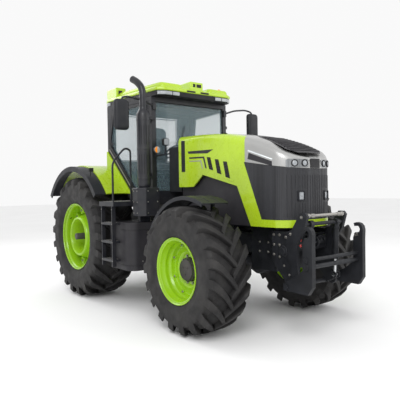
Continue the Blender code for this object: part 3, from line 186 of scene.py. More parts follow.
def rubber_material():
    m = Nodes("tyre_rubber", Specular_IOR_Level=0.35)
    tone = m.ramp(m.noise(6.0, 6.0), [(0.3, (0.010, 0.0095, 0.010)), (0.7, (0.022, 0.021, 0.021))])
    dust = m.ramp(m.noise(3.0, 8.0), [(0.45, (0.0, 0.0, 0.0)), (0.75, (0.09, 0.09, 0.09))])
    m.link(m.blend(dust, tone, (0.12, 0.11, 0.095)), "Base Color")
    m.link(m.remap(m.noise(11.0, 5.0), 0.55, 0.78), "Roughness")
    m.link(m.bump(m.noise(260.0, 5.0), 0.3, 0.001), "Normal")
    return m.material


def glass_material(name, colour, alpha):
    m = Nodes(name, Roughness=0.03, IOR=1.5, Coat_Weight=1.0, Coat_Roughness=0.02, Alpha=alpha)
    tone = m.ramp(m.noise(0.9, 2.0), [(0.3, shade(colour, 0.9)), (0.7, shade(colour, 1.1))])
    m.link(tone, "Base Color")
    m.link(m.bump(m.noise(3.0, 1.0), 0.02, 0.001), "Normal")
    m.material.surface_render_method = "BLENDED"
    return m.material


def lens_material(name, colour, glow=0.0, ribs=180.0):
    m = Nodes(name, Roughness=0.12, Coat_Weight=1.0, Coat_Roughness=0.03)
    wave = m.add("ShaderNodeTexWave", Vector=m.place, Scale=ribs, Distortion=0.4).outputs["Fac"]
    tone = m.ramp(wave, [(0.2, shade(colour, 0.82)), (0.8, shade(colour, 1.08))])
    m.link(tone, "Base Color")
    m.link(m.bump(wave, 0.3, 0.001), "Normal")
    if glow:
        m.shader.inputs["Emission Color"].default_value = (*colour, 1)
        m.shader.inputs["Emission Strength"].default_value = glow
    return m.material


def metal_material(name, colour, roughness, scale=300.0):
    m = Nodes(name, Metallic=1.0)
    brushed = m.noise(scale, 3.0, (1, 1, 0.06))
    tone = m.ramp(brushed, [(0.3, shade(colour, 0.85)), (0.7, shade(colour, 1.1))])
    m.link(tone, "Base Color")
    m.link(m.remap(brushed, roughness - 0.06, roughness + 0.1), "Roughness")
    m.link(m.bump(brushed, 0.12, 0.0004, 0.002), "Normal")
    return m.material


def mesh_material():
    """Pressed grille mesh: fine ribs, with rows of small holes between them painted near black as the shade
    behind the mesh.
    """
    m = Nodes("grille_mesh", Specular_IOR_Level=0.4)
    cells = m.add("ShaderNodeTexVoronoi", Vector=m.place, Scale=95.0, Randomness=0.15).outputs["Distance"]
    streak = m.noise(3.5, 2.0, (9, 9, 0.3))
    # painted shade: the holes between the ribs are coloured near black for the shade seen through them, and
    # the ribs keep the mesh's own dark grey
    ribs_and_hole_shade = m.ramp(cells, [(0.25, (0.004, 0.004, 0.005)), (0.55, (0.030, 0.031, 0.036))])
    m.link(m.blend(m.remap(streak, 0.0, 0.5), ribs_and_hole_shade, (0.012, 0.012, 0.014)), "Base Color")
    m.link(m.remap(streak, 0.40, 0.62), "Roughness")
    m.link(m.bump(cells, 0.7, 0.003, 0.003), "Normal")
    return m.material


def fabric_material():
    m = Nodes("seat_fabric", Sheen_Weight=0.35, Sheen_Roughness=0.5)
    warp = m.add("ShaderNodeTexWave", Vector=m.place, Scale=260.0, Distortion=0.6).outputs["Fac"]
    weft_place = m.add("ShaderNodeMapping", Vector=m.place, Rotation=(0, 0, math.radians(90))).outputs[0]
    weft = m.add("ShaderNodeTexWave", Vector=weft_place, Scale=260.0, Distortion=0.6).outputs["Fac"]
    weave = m.add("ShaderNodeMath")
    weave.operation = "MAXIMUM"
    m.tree.links.new(warp, weave.inputs[0])
    m.tree.links.new(weft, weave.inputs[1])
    tone = m.ramp(weave.outputs[0], [(0.2, (0.012, 0.012, 0.014)), (0.9, (0.055, 0.056, 0.062))])
    m.link(m.blend(m.remap(m.noise(8.0, 4.0), 0.0, 0.25), tone, (0.075, 0.075, 0.08)), "Base Color")
    m.link(m.remap(m.noise(30.0, 3.0), 0.82, 0.95), "Roughness")
    m.link(m.bump(weave.outputs[0], 0.5, 0.0012), "Normal")
    return m.material


LIME = (0.385, 0.56, 0.012)
MATERIALS = {
    "lime_paint": painted("lime_paint", LIME, 0.28, coat=0.4, shine=0.4),
    "rim_paint": painted("rim_paint", (0.27, 0.50, 0.004), 0.3, coat=0.35, edge=0.002, shine=0.4),
    "silver_paint": painted("silver_paint", (0.36, 0.36, 0.355), 0.38, metallic=0.45, coat=0.3),
    "cab_paint": painted("cab_paint", (0.011, 0.012, 0.017), 0.36, coat=0.08, variation=0.2, shine=0.35),
    "black_iron": cast("black_iron", (0.013, 0.014, 0.017)),
    "black_plastic": moulded("black_plastic", (0.012, 0.013, 0.017), 0.45),
    "charcoal_panel": moulded("charcoal_panel", (0.022, 0.021, 0.025), 0.45, grain=480.0),
    "trim_black": moulded("trim_black", (0.007, 0.007, 0.009), 0.5, edge=0.0),
    "tyre_rubber": rubber_material(),
    "grille_mesh": mesh_material(),
    "seat_fabric": fabric_material(),
    "tinted_glass": glass_material("tinted_glass", (0.22, 0.33, 0.37), 0.20),
    "bright_steel": metal_material("bright_steel", (0.62, 0.63, 0.65), 0.24),
    "zinc_bolt": metal_material("zinc_bolt", (0.34, 0.33, 0.31), 0.42, 500.0),
    "mirror_glass": metal_material("mirror_glass", (0.75, 0.80, 0.84), 0.10, 40.0),
    "lamp_bowl": metal_material("lamp_bowl", (0.27, 0.28, 0.29), 0.32, 60.0),
    "clear_lens": lens_material("clear_lens", (0.30, 0.32, 0.34), 0.03),
    "white_strip": lens_material("white_strip", (0.72, 0.76, 0.78), 0.1, ribs=12.0),
    "orange_lens": lens_material("orange_lens", (0.85, 0.26, 0.01), 0.15),
    "red_lens": lens_material("red_lens", (0.55, 0.012, 0.008), 0.05),
    "hub_grey": cast("hub_grey", (0.052, 0.048, 0.047), 0.55),
}

for node, slot in ((item["node"], item["material_slot"]) for item in frame["record"]["subparts"]):
    kept = MATERIALS[slot]
    slots = frame["nodes"][node].material_slots
    if len(slots) == 0:
        frame["nodes"][node].data.materials.append(kept)
    for each in frame["nodes"][node].material_slots:
        each.material = kept


# ---------------------------------------------------------------- shapes
def arc(centre, radius, start, end, steps):
    """Points on a circle between two angles in degrees."""
    turn = [math.radians(start + (end - start) * k / steps) for k in range(steps + 1)]
    return [(centre[0] + radius * math.cos(a), centre[1] + radius * math.sin(a)) for a in turn]


def sector(centre, outer, inner, start, end, steps):
    """The outline between two circles: out along one, back along the other."""
    return arc(centre, outer, start, end, steps) + arc(centre, inner, end, start, steps)


def span(sign, near, far):
    """A range on one side of the middle."""
    return tuple(sorted((sign * near, sign * far)))


class Shape:
    """Points and faces gathered from several closed forms, which become one object."""

    def __init__(self):
        self.points = []
        self.faces = []

    def add(self, points, faces):
        start = len(self.points)
        self.points += [tuple(p) for p in points]
        self.faces += [tuple(start + i for i in face) for face in faces]
        return self

    def rows(self, rows, around=True, along=False):
        """Quads between rows of points; the rows close on themselves, and may close end to end."""
        count = len(rows[0])
        faces = []
        for r in range(len(rows) if along else len(rows) - 1):
            for i in range(count if around else count - 1):
                a, b = r * count, ((r + 1) % len(rows)) * count
                j = (i + 1) % count
                faces.append((a + i, a + j, b + j, b + i))
        return self.add([p for row in rows for p in row], faces)

    def loft(self, rows):
        """Rows of points, with the first and the last filled."""
        self.rows(rows)
        count, last = len(rows[0]), len(self.points)
        first = last - count * len(rows)
        self.faces += [tuple(range(last - count, last)), tuple(range(first, first + count))]
        return self

    def prism(self, outline, axis, low, high):
        """A flat outline given thickness: (y, z) along X, (x, z) along Y or (x, y) along Z."""
        count = len(outline)
        order = {
            "X": lambda a, b, t: (t, a, b), "Y": lambda a, b, t: (a, t, b), "Z": lambda a, b, t: (a, b, t),
        }[axis]
        points = [order(a, b, low) for a, b in outline] + [order(a, b, high) for a, b in outline]
        faces = [tuple(range(count)), tuple(range(count, 2 * count))]
        for i in range(count):
            j = (i + 1) % count
            faces.append((i, j, count + j, count + i))
        return self.add(points, faces)

    def box(self, x, y, z):
        return self.prism([(x[0], y[0]), (x[1], y[0]), (x[1], y[1]), (x[0], y[1])], "Z", *z)

    def turned(self, profile, centre, direction, steps=32, closed=False):
        """A profile of (along, radius) turned round an axis through the centre."""
        axis = Vector(direction).normalized()
        side = axis.orthogonal().normalized()
        other = axis.cross(side)
        rows = []
        for along, radius in profile:
            row = []
            for k in range(steps):
                a = 2 * math.pi * k / steps
                row.append(
                    Vector(centre) + axis * along + (side * math.cos(a) + other * math.sin(a)) * radius
                )
            rows.append(row)
        return self.rows(rows, along=closed)

    def rod(self, start, end, radius, steps=20, chamfer=0.15):
        """A round bar with its end edges broken."""
        start, end = Vector(start), Vector(end)
        length = (end - start).length
        c = min(chamfer * radius, length / 4)
        profile = [
            (0, 0), (0, radius - c), (c, radius), (length - c, radius), (length, radius - c), (length, 0),
        ]
        return self.turned(profile, start, end - start, steps)

    def bolt(self, at, direction, radius=0.012, height=0.009):
        """A washer and a hexagon head."""
        axis = Vector(direction).normalized()
        at = Vector(at)
        self.turned(
            [(0, 0), (0, radius * 1.5), (height * 0.2, radius * 1.5), (height * 0.2, 0)], at, axis, 16,
        )
        head = [(0, 0), (0, radius), (height * 0.8, radius), (height, radius * 0.85), (height, 0)]
        return self.turned(head, at + axis * height * 0.2, axis, 6)

    def tube(self, path, radius, sides=16):
        """A round tube along a path, closed at both ends."""
        path = [Vector(p) for p in path]
        rows = []
        side = None
        for i, point in enumerate(path):
            ahead = path[min(i + 1, len(path) - 1)] - path[max(i - 1, 0)]
            ahead.normalize()
            if side is None:
                side = ahead.orthogonal().normalized()
            side = (side - ahead * side.dot(ahead)).normalized()
            other = ahead.cross(side)
            turn = [2 * math.pi * k / sides for k in range(sides)]
            rows.append([point + (side * math.cos(a) + other * math.sin(a)) * radius for a in turn])
        rows.insert(0, [path[0]] * sides)
        rows.append([path[-1]] * sides)
        return self.rows(rows)

    def mirrored(self):
        twin = Shape()
        twin.points = [(-x, y, z) for x, y, z in self.points]
        twin.faces = [tuple(reversed(face)) for face in self.faces]
        return twin

    def both(self):
        """With its mirror image, for a shape that stands on one side only."""
        twin = self.mirrored()
        return self.add(twin.points, twin.faces)


def rounded(path, radius, steps=6):
    """A path of straight runs with its inner corners rounded."""
    path = [Vector(p) for p in path]
    out = [path[0]]
    for before, corner, after in zip(path, path[1:], path[2:]):
        back, ahead = before - corner, after - corner
        reach = min(radius, back.length / 2, ahead.length / 2)
        first = corner + back.normalized() * reach
        last = corner + ahead.normalized() * reach
        out += bend(first, corner, last, steps)
    return out + [path[-1]]


def mirrored_plan(half):
    """A plan given by its left half."""
    return half + [(-x, y) for x, y in reversed(half)]


def bend(first, corner, last, steps):
    """Points of a smooth corner."""
    shares = [k / steps for k in range(steps + 1)]
    return [first * (1 - t) ** 2 + corner * 2 * t * (1 - t) + last * t * t for t in shares]


def rounded_rectangle(x, y, radius, steps=5):
    """The outline of a rectangle with rounded corners."""
    (x0, x1), (y0, y1) = x, y
    out = arc((x1 - radius, y0 + radius), radius, -90, 0, steps)
    out += arc((x1 - radius, y1 - radius), radius, 0, 90, steps)
    out += arc((x0 + radius, y1 - radius), radius, 90, 180, steps)
    return out + arc((x0 + radius, y0 + radius), radius, 180, 270, steps)


def make_object(name, shape, weld=1e-5):
    mesh = bpy.data.meshes.new(name)
    mesh.from_pydata(shape.points, [], shape.faces)
    work = bmesh.new()
    work.from_mesh(mesh)
    bmesh.ops.remove_doubles(work, verts=work.verts, dist=weld)
    bmesh.ops.recalc_face_normals(work, faces=work.faces)
    work.to_mesh(mesh)
    work.free()
    obj = bpy.data.objects.new(name, mesh)
    bpy.context.scene.collection.objects.link(obj)
    return obj


def dress(obj, surface, body="root", bevel=0.0, angle=32, segments=2):
    """Gives a piece its material, smooth shading, broken edges, and the body it rides on."""
    obj.data.materials.clear()
    obj.data.materials.append(MATERIALS[surface])
    obj.data.shade_smooth()
    obj.data.set_sharp_from_angle(angle=math.radians(angle))
    if bevel:
        edges = obj.modifiers.new("edges", "BEVEL")
        edges.width = bevel
        edges.segments = segments
        edges.limit_method = "ANGLE"
        edges.angle_limit = math.radians(angle)
        edges.harden_normals = True
    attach(obj, body)
    return obj


def piece(name, shape, surface, body="root", bevel=0.0, replaces=(), angle=32, segments=2):
    obj = dress(make_object(name, shape), surface, body, bevel, angle, segments)
    if replaces:
        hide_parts(*replaces)
    return obj


def pair(name, shape, surface, body=None, bevel=0.0, replaces=None, angle=32):
    """The left piece and its mirror image; body and replaced node are named without their side."""
    for side, sign in SIDES:
        one = shape if sign > 0 else shape.mirrored()
        rides = "root" if body is None else body.format(side)
        hidden = () if replaces is None else (f"{replaces}_{side}",)
        piece(f"{name}_{side}", one, surface, rides, bevel, hidden, angle)


# ---------------------------------------------------------------- wheels
def tyre_crown(tyre, x):
    """The tread's outer radius at a distance from the tyre's middle: nearly flat, then a rounded shoulder."""
    share = min(abs(x) / (tyre["width"] / 2), 1.0)
    return tyre["radius"] - 0.012 * share**2 - 0.050 * max(share - 0.72, 0.0) ** 2 / 0.0784


def make_tyre(tyre, lugs, lug_height, name):
    """A carcass with a rounded sidewall, and two staggered rows of swept lugs over its shoulder."""
    half, radius, flange = tyre["width"] / 2, tyre["radius"], tyre["flange"]
    height = radius - flange
    bead = tyre["half"] - 0.016
    deep = radius - lug_height
    section = [
        (bead, tyre["barrel"] + 0.004),
        (bead + 0.004, flange + 0.010),
        (bead + 0.012, flange + 0.016),
        (bead + 0.013, flange + 0.030),
        (half * 0.965, flange + 0.20 * height),
        (half * 0.975, flange + 0.22 * height),
        (half * 0.985, flange + 0.235 * height),
        (half * 0.992, flange + 0.42 * height),
        (half * 0.975, flange + 0.58 * height),
        (half * 0.978, flange + 0.60 * height),
        (half * 0.955, flange + 0.68 * height),
        (half * 0.88, deep - 0.055),
        (half * 0.78, deep - 0.024),
        (half * 0.55, deep - 0.008),
        (half * 0.25, deep - 0.001),
    ]
    profile = section + [(0, deep)] + [(-x, r) for x, r in reversed(section)]
    shape = Shape().turned(profile, (0, 0, 0), (1, 0, 0), 96, closed=True)
    pitch = 2 * math.pi / lugs
    sweep = 0.33 / radius
    stations = 9
    for k in range(lugs):
        for side in (1, -1):
            start = k * pitch + (0.5 * pitch if side < 0 else 0.0)
            rows = []
            for s in range(stations + 1):
                t = s / stations
                x = side * (-0.035 + t * (half + 0.029))
                lead = start + sweep * (1 - t) ** 1.25
                broad = 0.033 + 0.022 * t
                foot = broad + 0.014
                top = tyre_crown(tyre, x)
                low = top - lug_height - (0.02 if t < 0.8 else 0.075)
                x_top = x if t < 1 else x - side * 0.006
                row = []
                for across, level, at in (
                    (-foot, low, x),
                    (-broad - 0.003, top - 0.008, x_top),
                    (-broad + 0.007, top, x_top),
                    (broad - 0.007, top, x_top),
                    (broad + 0.003, top - 0.008, x_top),
                    (foot, low, x),
                ):
                    angle = lead + across / radius
                    row.append((at, -level * math.sin(angle), level * math.cos(angle)))
                rows.append(row)
            shape.loft(rows)
    shape.points = [(x + tyre["x"], y + tyre["y"], z + tyre["radius"]) for x, y, z in shape.points]
    end = name.split("_")[1]
    pair(name, shape, "tyre_rubber", f"{end}_wheel_" + "{}", replaces=name, angle=28)


def ring_of_bolts(shape, centre, radius, count, size, start=0.0):
    for k in range(count):
        a = 2 * math.pi * (k + start) / count
        at = Vector(centre) + Vector((0, math.cos(a), math.sin(a))) * radius
        shape.bolt(at, (1, 0, 0), size, size * 0.9)
    return shape


def make_front_rims():
    x, y, z = FRONT_TYRE["x"], FRONT_TYRE["y"], FRONT_TYRE["radius"]
    outer = [
        (0.050, 0.150), (0.052, 0.185), (0.072, 0.205), (0.080, 0.225), (0.066, 0.262), (0.058, 0.300),
        (0.066, 0.318), (0.085, 0.326), (0.110, 0.326), (0.122, 0.334), (0.140, 0.350), (0.165, 0.354),
        (0.180, 0.350), (0.196, 0.352), (0.214, 0.366), (0.250, 0.369), (0.262, 0.374), (0.268, 0.392),
        (0.276, 0.400), (0.282, 0.404), (0.283, 0.409), (0.278, 0.411), (0.269, 0.410), (0.268, 0.385),
    ]
    inner = [
        (-0.268, 0.385), (-0.268, 0.409), (-0.279, 0.410), (-0.283, 0.404), (-0.270, 0.380), (-0.250, 0.366),
        (-0.150, 0.364), (-0.05, 0.345), (0.02, 0.338), (0.046, 0.320), (0.044, 0.300), (0.052, 0.262),
        (0.062, 0.225), (0.050, 0.205), (0.036, 0.185), (0.034, 0.150),
    ]
    rim = Shape().turned(outer + inner, (x, y, z), (1, 0, 0), 96, closed=True)
    for k in range(8):
        a = 2 * math.pi * (k + 0.5) / 8
        out = Vector((0, math.cos(a), math.sin(a)))
        rim.rod(Vector((x + 0.05, y, z)) + out * 0.318, Vector((x + 0.088, y, z)) + out * 0.318, 0.022, 12)
    pair("rim_front", rim, "rim_paint", "front_wheel_{}", bevel=0.0, replaces="rim_front", angle=40)
    hub_profile = [
        (-0.034, 0), (-0.034, 0.12), (0.03, 0.152), (0.085, 0.150), (0.100, 0.146), (0.104, 0.138),
        (0.112, 0.136), (0.126, 0.130), (0.130, 0.118), (0.130, 0.03), (0.133, 0.025), (0.133, 0),
    ]
    hub = Shape().turned(hub_profile, (x, y, z), (1, 0, 0), 64)
    ring_of_bolts(hub, (x + 0.104, y, z), 0.1425, 12, 0.0055)
    ring_of_bolts(hub, (x + 0.130, y, z), 0.055, 3, 0.008, 0.25)
    pair("hub_front", hub, "hub_grey", "front_wheel_{}", angle=30)
    nuts = ring_of_bolts(Shape(), (x + 0.056, y, z), 0.172, 10, 0.013)
    ring_of_bolts(nuts, (x + 0.088, y, z), 0.318, 8, 0.011, 0.5)
    pair("wheel_nuts_front", nuts, "zinc_bolt", "front_wheel_{}")


def make_rear_rims():
    x, y, z = REAR_TYRE["x"], REAR_TYRE["y"], REAR_TYRE["radius"]
    outer = [
        (-0.035, 0.120), (-0.030, 0.225), (0.000, 0.245), (0.140, 0.268), (0.235, 0.285), (0.262, 0.296),
        (0.270, 0.312), (0.262, 0.328), (0.235, 0.340), (0.120, 0.375), (0.020, 0.425), (-0.030, 0.455),
        (-0.035, 0.492),
        (0.00, 0.503), (0.12, 0.506), (0.150, 0.512), (0.180, 0.516), (0.240, 0.518), (0.262, 0.524),
        (0.280, 0.542), (0.292, 0.552), (0.303, 0.557), (0.305, 0.562), (0.299, 0.564), (0.290, 0.563),
        (0.290, 0.538),
    ]
    inner = [
        (-0.290, 0.538), (-0.290, 0.562), (-0.300, 0.563), (-0.305, 0.556), (-0.290, 0.534), (-0.265, 0.518),
        (-0.09, 0.512), (-0.062, 0.490), (-0.060, 0.450), (0.000, 0.408), (0.105, 0.353), (0.225, 0.321),
        (0.245, 0.312), (0.225, 0.303), (0.130, 0.287), (-0.020, 0.264), (-0.050, 0.240),
        (-0.052, 0.120),
    ]
    rim = Shape().turned(outer + inner, (x, y, z), (1, 0, 0), 112, closed=True)
    for k in range(12):
        a = math.radians(30 * k + 15)
        out, along = Vector((0, math.cos(a), math.sin(a))), Vector((0, -math.sin(a), math.cos(a)))
        centre = Vector((x, y, z))
        corners = []
        for depth, near, far, wide in ((-0.030, 0.37, 0.508, 0.076), (0.130, 0.40, 0.512, 0.058)):
            for r, w in ((near, -wide), (near, wide), (far, wide), (far, -wide)):
                corners.append(centre + Vector((depth, 0, 0)) + out * r + along * w)
        rim.add(corners, [(0, 1, 2, 3), (4, 5, 6, 7), (0, 1, 5, 4), (1, 2, 6, 5), (2, 3, 7, 6), (3, 0, 4, 7)])
    pair("rim_rear", rim, "rim_paint", "rear_wheel_{}", replaces="rim_rear", angle=40)
    hub = Shape().turned(
        [
            (-0.190, 0), (-0.190, 0.148), (-0.05, 0.148), (-0.03, 0.142), (0.0, 0.138), (0.006, 0.128),
            (0.010, 0.100), (0.012, 0),
        ],
        (x, y, z), (1, 0, 0), 48)
    for sign in (-1, 1):
        low, high = span(sign, 0.018, 0.094)
        hub.box((x, x + 0.085), (y - 0.085, y + 0.085), (z + low, z + high))
    hub.turned([(0.0, 0), (0.0, 0.055), (0.292, 0.055), (0.300, 0.047), (0.300, 0)], (x, y, z), (1, 0, 0), 40)
    pair("hub_rear", hub, "hub_grey", "rear_wheel_{}", bevel=0.003)
    nuts = ring_of_bolts(Shape(), (x - 0.030, y, z), 0.19, 10, 0.016)
    for k in range(12):
        a = math.radians(30 * k + 15)
        nuts.bolt((x + 0.1305, y + 0.455 * math.cos(a), z + 0.455 * math.sin(a)), (1, 0, 0), 0.015, 0.013)
    for sign in (-1, 1):
        for across in (-0.055, 0.055):
            nuts.bolt((x + 0.085, y + across, z + sign * 0.068), (1, 0, 0), 0.012, 0.012)
    pair("wheel_nuts_rear", nuts, "zinc_bolt", "rear_wheel_{}")
    valve = Shape().rod((x + 0.20, y + 0.40, z + 0.30), (x + 0.235, y + 0.385, z + 0.29), 0.006, 10)
    pair("valve_rear", valve, "trim_black", "rear_wheel_{}")


make_tyre(FRONT_TYRE, 19, 0.058, "tyre_front")
make_tyre(REAR_TYRE, 21, 0.064, "tyre_rear")
make_front_rims()
make_rear_rims()


# ---------------------------------------------------------------- hood
def combine(target, tool, operation):
    change = target.modifiers.new("combine", "BOOLEAN")
    change.operation = operation
    change.solver = "EXACT"
    change.object = tool
    depsgraph = bpy.context.evaluated_depsgraph_get()
    result = bpy.data.meshes.new_from_object(target.evaluated_get(depsgraph))
    target.modifiers.clear()
    target.data = result
    bpy.data.objects.remove(tool)
    return target


def hood_top(y):
    """Height of the hood's crown: nearly level, then falling to the nose."""
    t = max(HOOD_REAR_Y - y, 0.0) / HOOD_LENGTH
    return 2.585 - 0.06 * t - 0.37 * t**3.2


def hood_half(y):
    t = max(HOOD_REAR_Y - y, 0.0) / HOOD_LENGTH
    return 0.50 - 0.055 * t**1.5


NOSE_DEPTH = 0.24
NOSE_SIDE_Y = NOSE_Y + NOSE_DEPTH
NOSE_BLUNTNESS = 0.75
NOSE_ROUNDNESS = 1.3
SECTION_SCALE = (0.0, 0.25, 0.5, 0.7, 0.86, 0.93, 0.97, 0.99, 1.0)
SECTION_DROP = (0.0002, 0.0008, 0.003, 0.009, 0.019, 0.031, 0.052, 0.075, 0.112)


def hood_side_x(y, z):
    """Half width of the hood's outer face at a height."""
    drop = hood_top(y) - z
    return hood_half(y) * float(np.interp(drop, SECTION_DROP, SECTION_SCALE))


def hood_top_z(x, y):
    return hood_top(y) - float(np.interp(abs(x) / hood_half(y), SECTION_SCALE, SECTION_DROP))


def nose_face_y(x):
    """How far forward the rounded nose stands at a distance from the middle."""
    half = hood_half(NOSE_SIDE_Y)
    angle = math.acos(min((abs(x) / half) ** (1 / NOSE_BLUNTNESS), 1.0))
    return NOSE_SIDE_Y - NOSE_DEPTH * math.sin(angle) ** NOSE_ROUNDNESS


def hood_plan(inset):
    side = []
    for k in range(20):
        y = HOOD_REAR_Y + (NOSE_SIDE_Y - HOOD_REAR_Y) * k / 19
        side.append((hood_half(y) - inset, y))
    half = hood_half(NOSE_SIDE_Y) - inset
    for k in range(1, 25):
        angle = math.radians(3.75 * k)
        x = half * math.cos(angle) ** NOSE_BLUNTNESS if k < 24 else 0.0
        side.append((x, NOSE_SIDE_Y - (NOSE_DEPTH - inset) * math.sin(angle) ** NOSE_ROUNDNESS))
    return side


def hood_form(name, inset, bottom, extend_rear):
    """The hood's full closed form: upright sides, a rounded shoulder and a crowned top."""
    half = hood_plan(inset)
    plan = half + [(-x, y) for x, y in reversed(half[:-1])]
    plan = [(x, y + extend_rear if i in (0, len(plan) - 1) else y) for i, (x, y) in enumerate(plan)]
    shape = Shape()
    rows = []
    for scale, drop in [(1.0, None)] + list(zip(SECTION_SCALE[::-1], SECTION_DROP[::-1]))[:-1]:
        row = []
        for x, y in plan:
            shifted = y + (1 - scale) * 0.22 * min(max((NOSE_Y + 0.45 - y) / 0.3, 0.0), 1.0)
            z = bottom if drop is None else hood_top(max(y, NOSE_Y)) - drop - inset
            row.append((x * scale, shifted, z))
        rows.append(row)
    shape.rows(rows)
    count = len(plan)
    middle = count // 2
    for base in (0, (len(rows) - 1) * count):
        for i in range(middle - 1):
            shape.faces.append((base + i, base + i + 1, base + count - 2 - i, base + count - 1 - i))
        shape.faces.append((base + middle - 1, base + middle, base + middle + 1))
    return make_object(name, shape, weld=1e-6)


def cutter(outline, axis, low, high):
    return make_object("cutter", Shape().prism(outline, axis, low, high))


def twin_of(obj):
    copy = obj.copy()
    copy.data = obj.data.copy()
    bpy.context.scene.collection.objects.link(copy)
    return copy


def grille_region(margin):
    y = FRONT_AXLE_Y
    return [
        (y - 0.33 - margin, 2.115 - margin), (NOSE_Y - 0.3, 1.965 - margin), (NOSE_Y - 0.3, 1.40 + margin),
        (y - 0.62 - margin, 1.40 + margin),
    ]


def silver_block(margin):
    """What the silver panel takes of the hood: the tongue on top and the band round the nose."""
    y = FRONT_AXLE_Y
    half = [
        (0.10, HOOD_REAR_Y - 0.43), (0.22, HOOD_REAR_Y - 0.62), (0.30, y + 0.10), (0.36, y - 0.28),
        (0.60, y - 0.43), (0.60, NOSE_Y - 0.3),
    ]
    half = [(x - margin, value) for x, value in half]
    tongue = cutter(mirrored_plan(half), "Z", 2.05, 2.9)

    def seam_z(at):
        """Height of the grille's top edge, which the silver panel meets."""
        return 2.1147 + margin + (at - y + 0.33) * 0.15 / (y - NOSE_Y - 0.03)

    under = [
        (y - 0.335 - margin, 2.0), (y - 0.335 - margin, seam_z(y - 0.335)),
        (NOSE_Y - 0.4, seam_z(NOSE_Y - 0.4)),
    ]
    combine(tongue, cutter(under + [(NOSE_Y - 0.4, 1.8)], "X", -0.7, 0.7), "DIFFERENCE")
    band = [
        (y - 0.43 - margin, 2.3), (y - 0.36 - margin, seam_z(y - 0.36)),
        (NOSE_Y - 0.35, seam_z(NOSE_Y - 0.35)),
    ]
    band.append((NOSE_Y - 0.35, 2.3))
    return combine(tongue, cutter(band, "X", -0.58, 0.58), "UNION")


def make_hood():
    """Lime shell, silver top and dark grille, cut from one skin with open seams between them."""
    seam = 0.0012
    y = FRONT_AXLE_Y
    skin = hood_form("hood_outer", 0, HOOD_BOTTOM_Z, 0)
    combine(skin, hood_form("hood_inner", HOOD_SKIN, HOOD_BOTTOM_Z - 0.2, 0.2), "DIFFERENCE")
    lower = [
        (y - 0.44, HOOD_BOTTOM_Z), (y - 0.20, 1.815), (HOOD_REAR_Y - 0.564, 1.983),
        (HOOD_REAR_Y - 0.346, 1.817),
    ]
    lower += [(HOOD_REAR_Y + 0.1, 1.817), (HOOD_REAR_Y + 0.1, 1.0), (y - 0.44, 1.0)]
    combine(skin, cutter(lower, "X", -0.7, 0.7), "DIFFERENCE")
    grille, silver = twin_of(skin), twin_of(skin)
    combine(skin, cutter(grille_region(0), "X", -0.7, 0.7), "DIFFERENCE")
    combine(skin, silver_block(0), "DIFFERENCE")
    combine(grille, cutter(grille_region(seam), "X", -0.7, 0.7), "INTERSECT")
    combine(silver, silver_block(seam), "INTERSECT")
    for obj, name, surface, node in (
        (skin, "hood_shell_skin", "lime_paint", "hood_shell"),
        (grille, "grille_skin", "grille_mesh", "front_grille"),
        (silver, "silver_skin", "silver_paint", "hood_top_panel"),
    ):
        obj.name = name
        obj.data.name = name
        dress(obj, surface, "hood", bevel=0.0025, angle=40)
        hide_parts(node)
    ears = Shape()
    for sign in (-1, 1):
        hinge = HOOD_REAR_Y - 0.005
        top = hood_top(hinge) - HOOD_SKIN + 0.004
        outline = [
            (hinge - 0.028, top), (hinge - 0.028, 2.495), (hinge, 2.477), (hinge + 0.02, 2.495),
            (hinge + 0.0045, top),
        ]
        ears.prism(outline, "X", *span(sign, 0.325, 0.345))
    piece("hood_hinge_ears", ears, "black_iron", "hood", bevel=0.002)


def patch(name, outline, project, thickness, surface, body="hood", spacing=0.05):
    """A thin panel laid on a curved face: the outline is cut into small facets, then projected."""
    work = bmesh.new()
    corners = [work.verts.new((a, b, 0)) for a, b in outline]
    work.faces.new(corners)
    for axis in (0, 1):
        low = min(c[axis] for c in outline)
        high = max(c[axis] for c in outline)
        count = max(int((high - low) / spacing), 1)
        for k in range(1, count):
            at, normal = [0, 0, 0], [0, 0, 0]
            at[axis] = low + (high - low) * k / count
            normal[axis] = 1
            every = work.verts[:] + work.edges[:] + work.faces[:]
            bmesh.ops.bisect_plane(work, geom=every, plane_co=at, plane_no=normal)
    flat = [tuple(v.co[:2]) for v in work.verts]
    work.verts.index_update()
    faces = [tuple(v.index for v in f.verts) for f in work.faces]
    edges = [tuple(v.index for v in e.verts) for e in work.edges if len(e.link_faces) == 1]
    work.free()
    count = len(flat)
    shape = Shape()
    outer = [project(a, b, thickness) for a, b in flat]
    inner = [project(a, b, -0.003) for a, b in flat]
    rims = [(a, b, b + count, a + count) for a, b in edges]
    shape.add(outer + inner, faces + [tuple(i + count for i in reversed(f)) for f in faces] + rims)
    return piece(name, shape, surface, body, angle=35)


def on_side(sign):
    return lambda y, z, out: (sign * (hood_side_x(y, z) + out), y, z)


def on_top(x, y, out):
    return (x, y, hood_top_z(x, y) + out)


def on_nose(x, z, out):
    return (x, nose_face_y(x) - out, z)


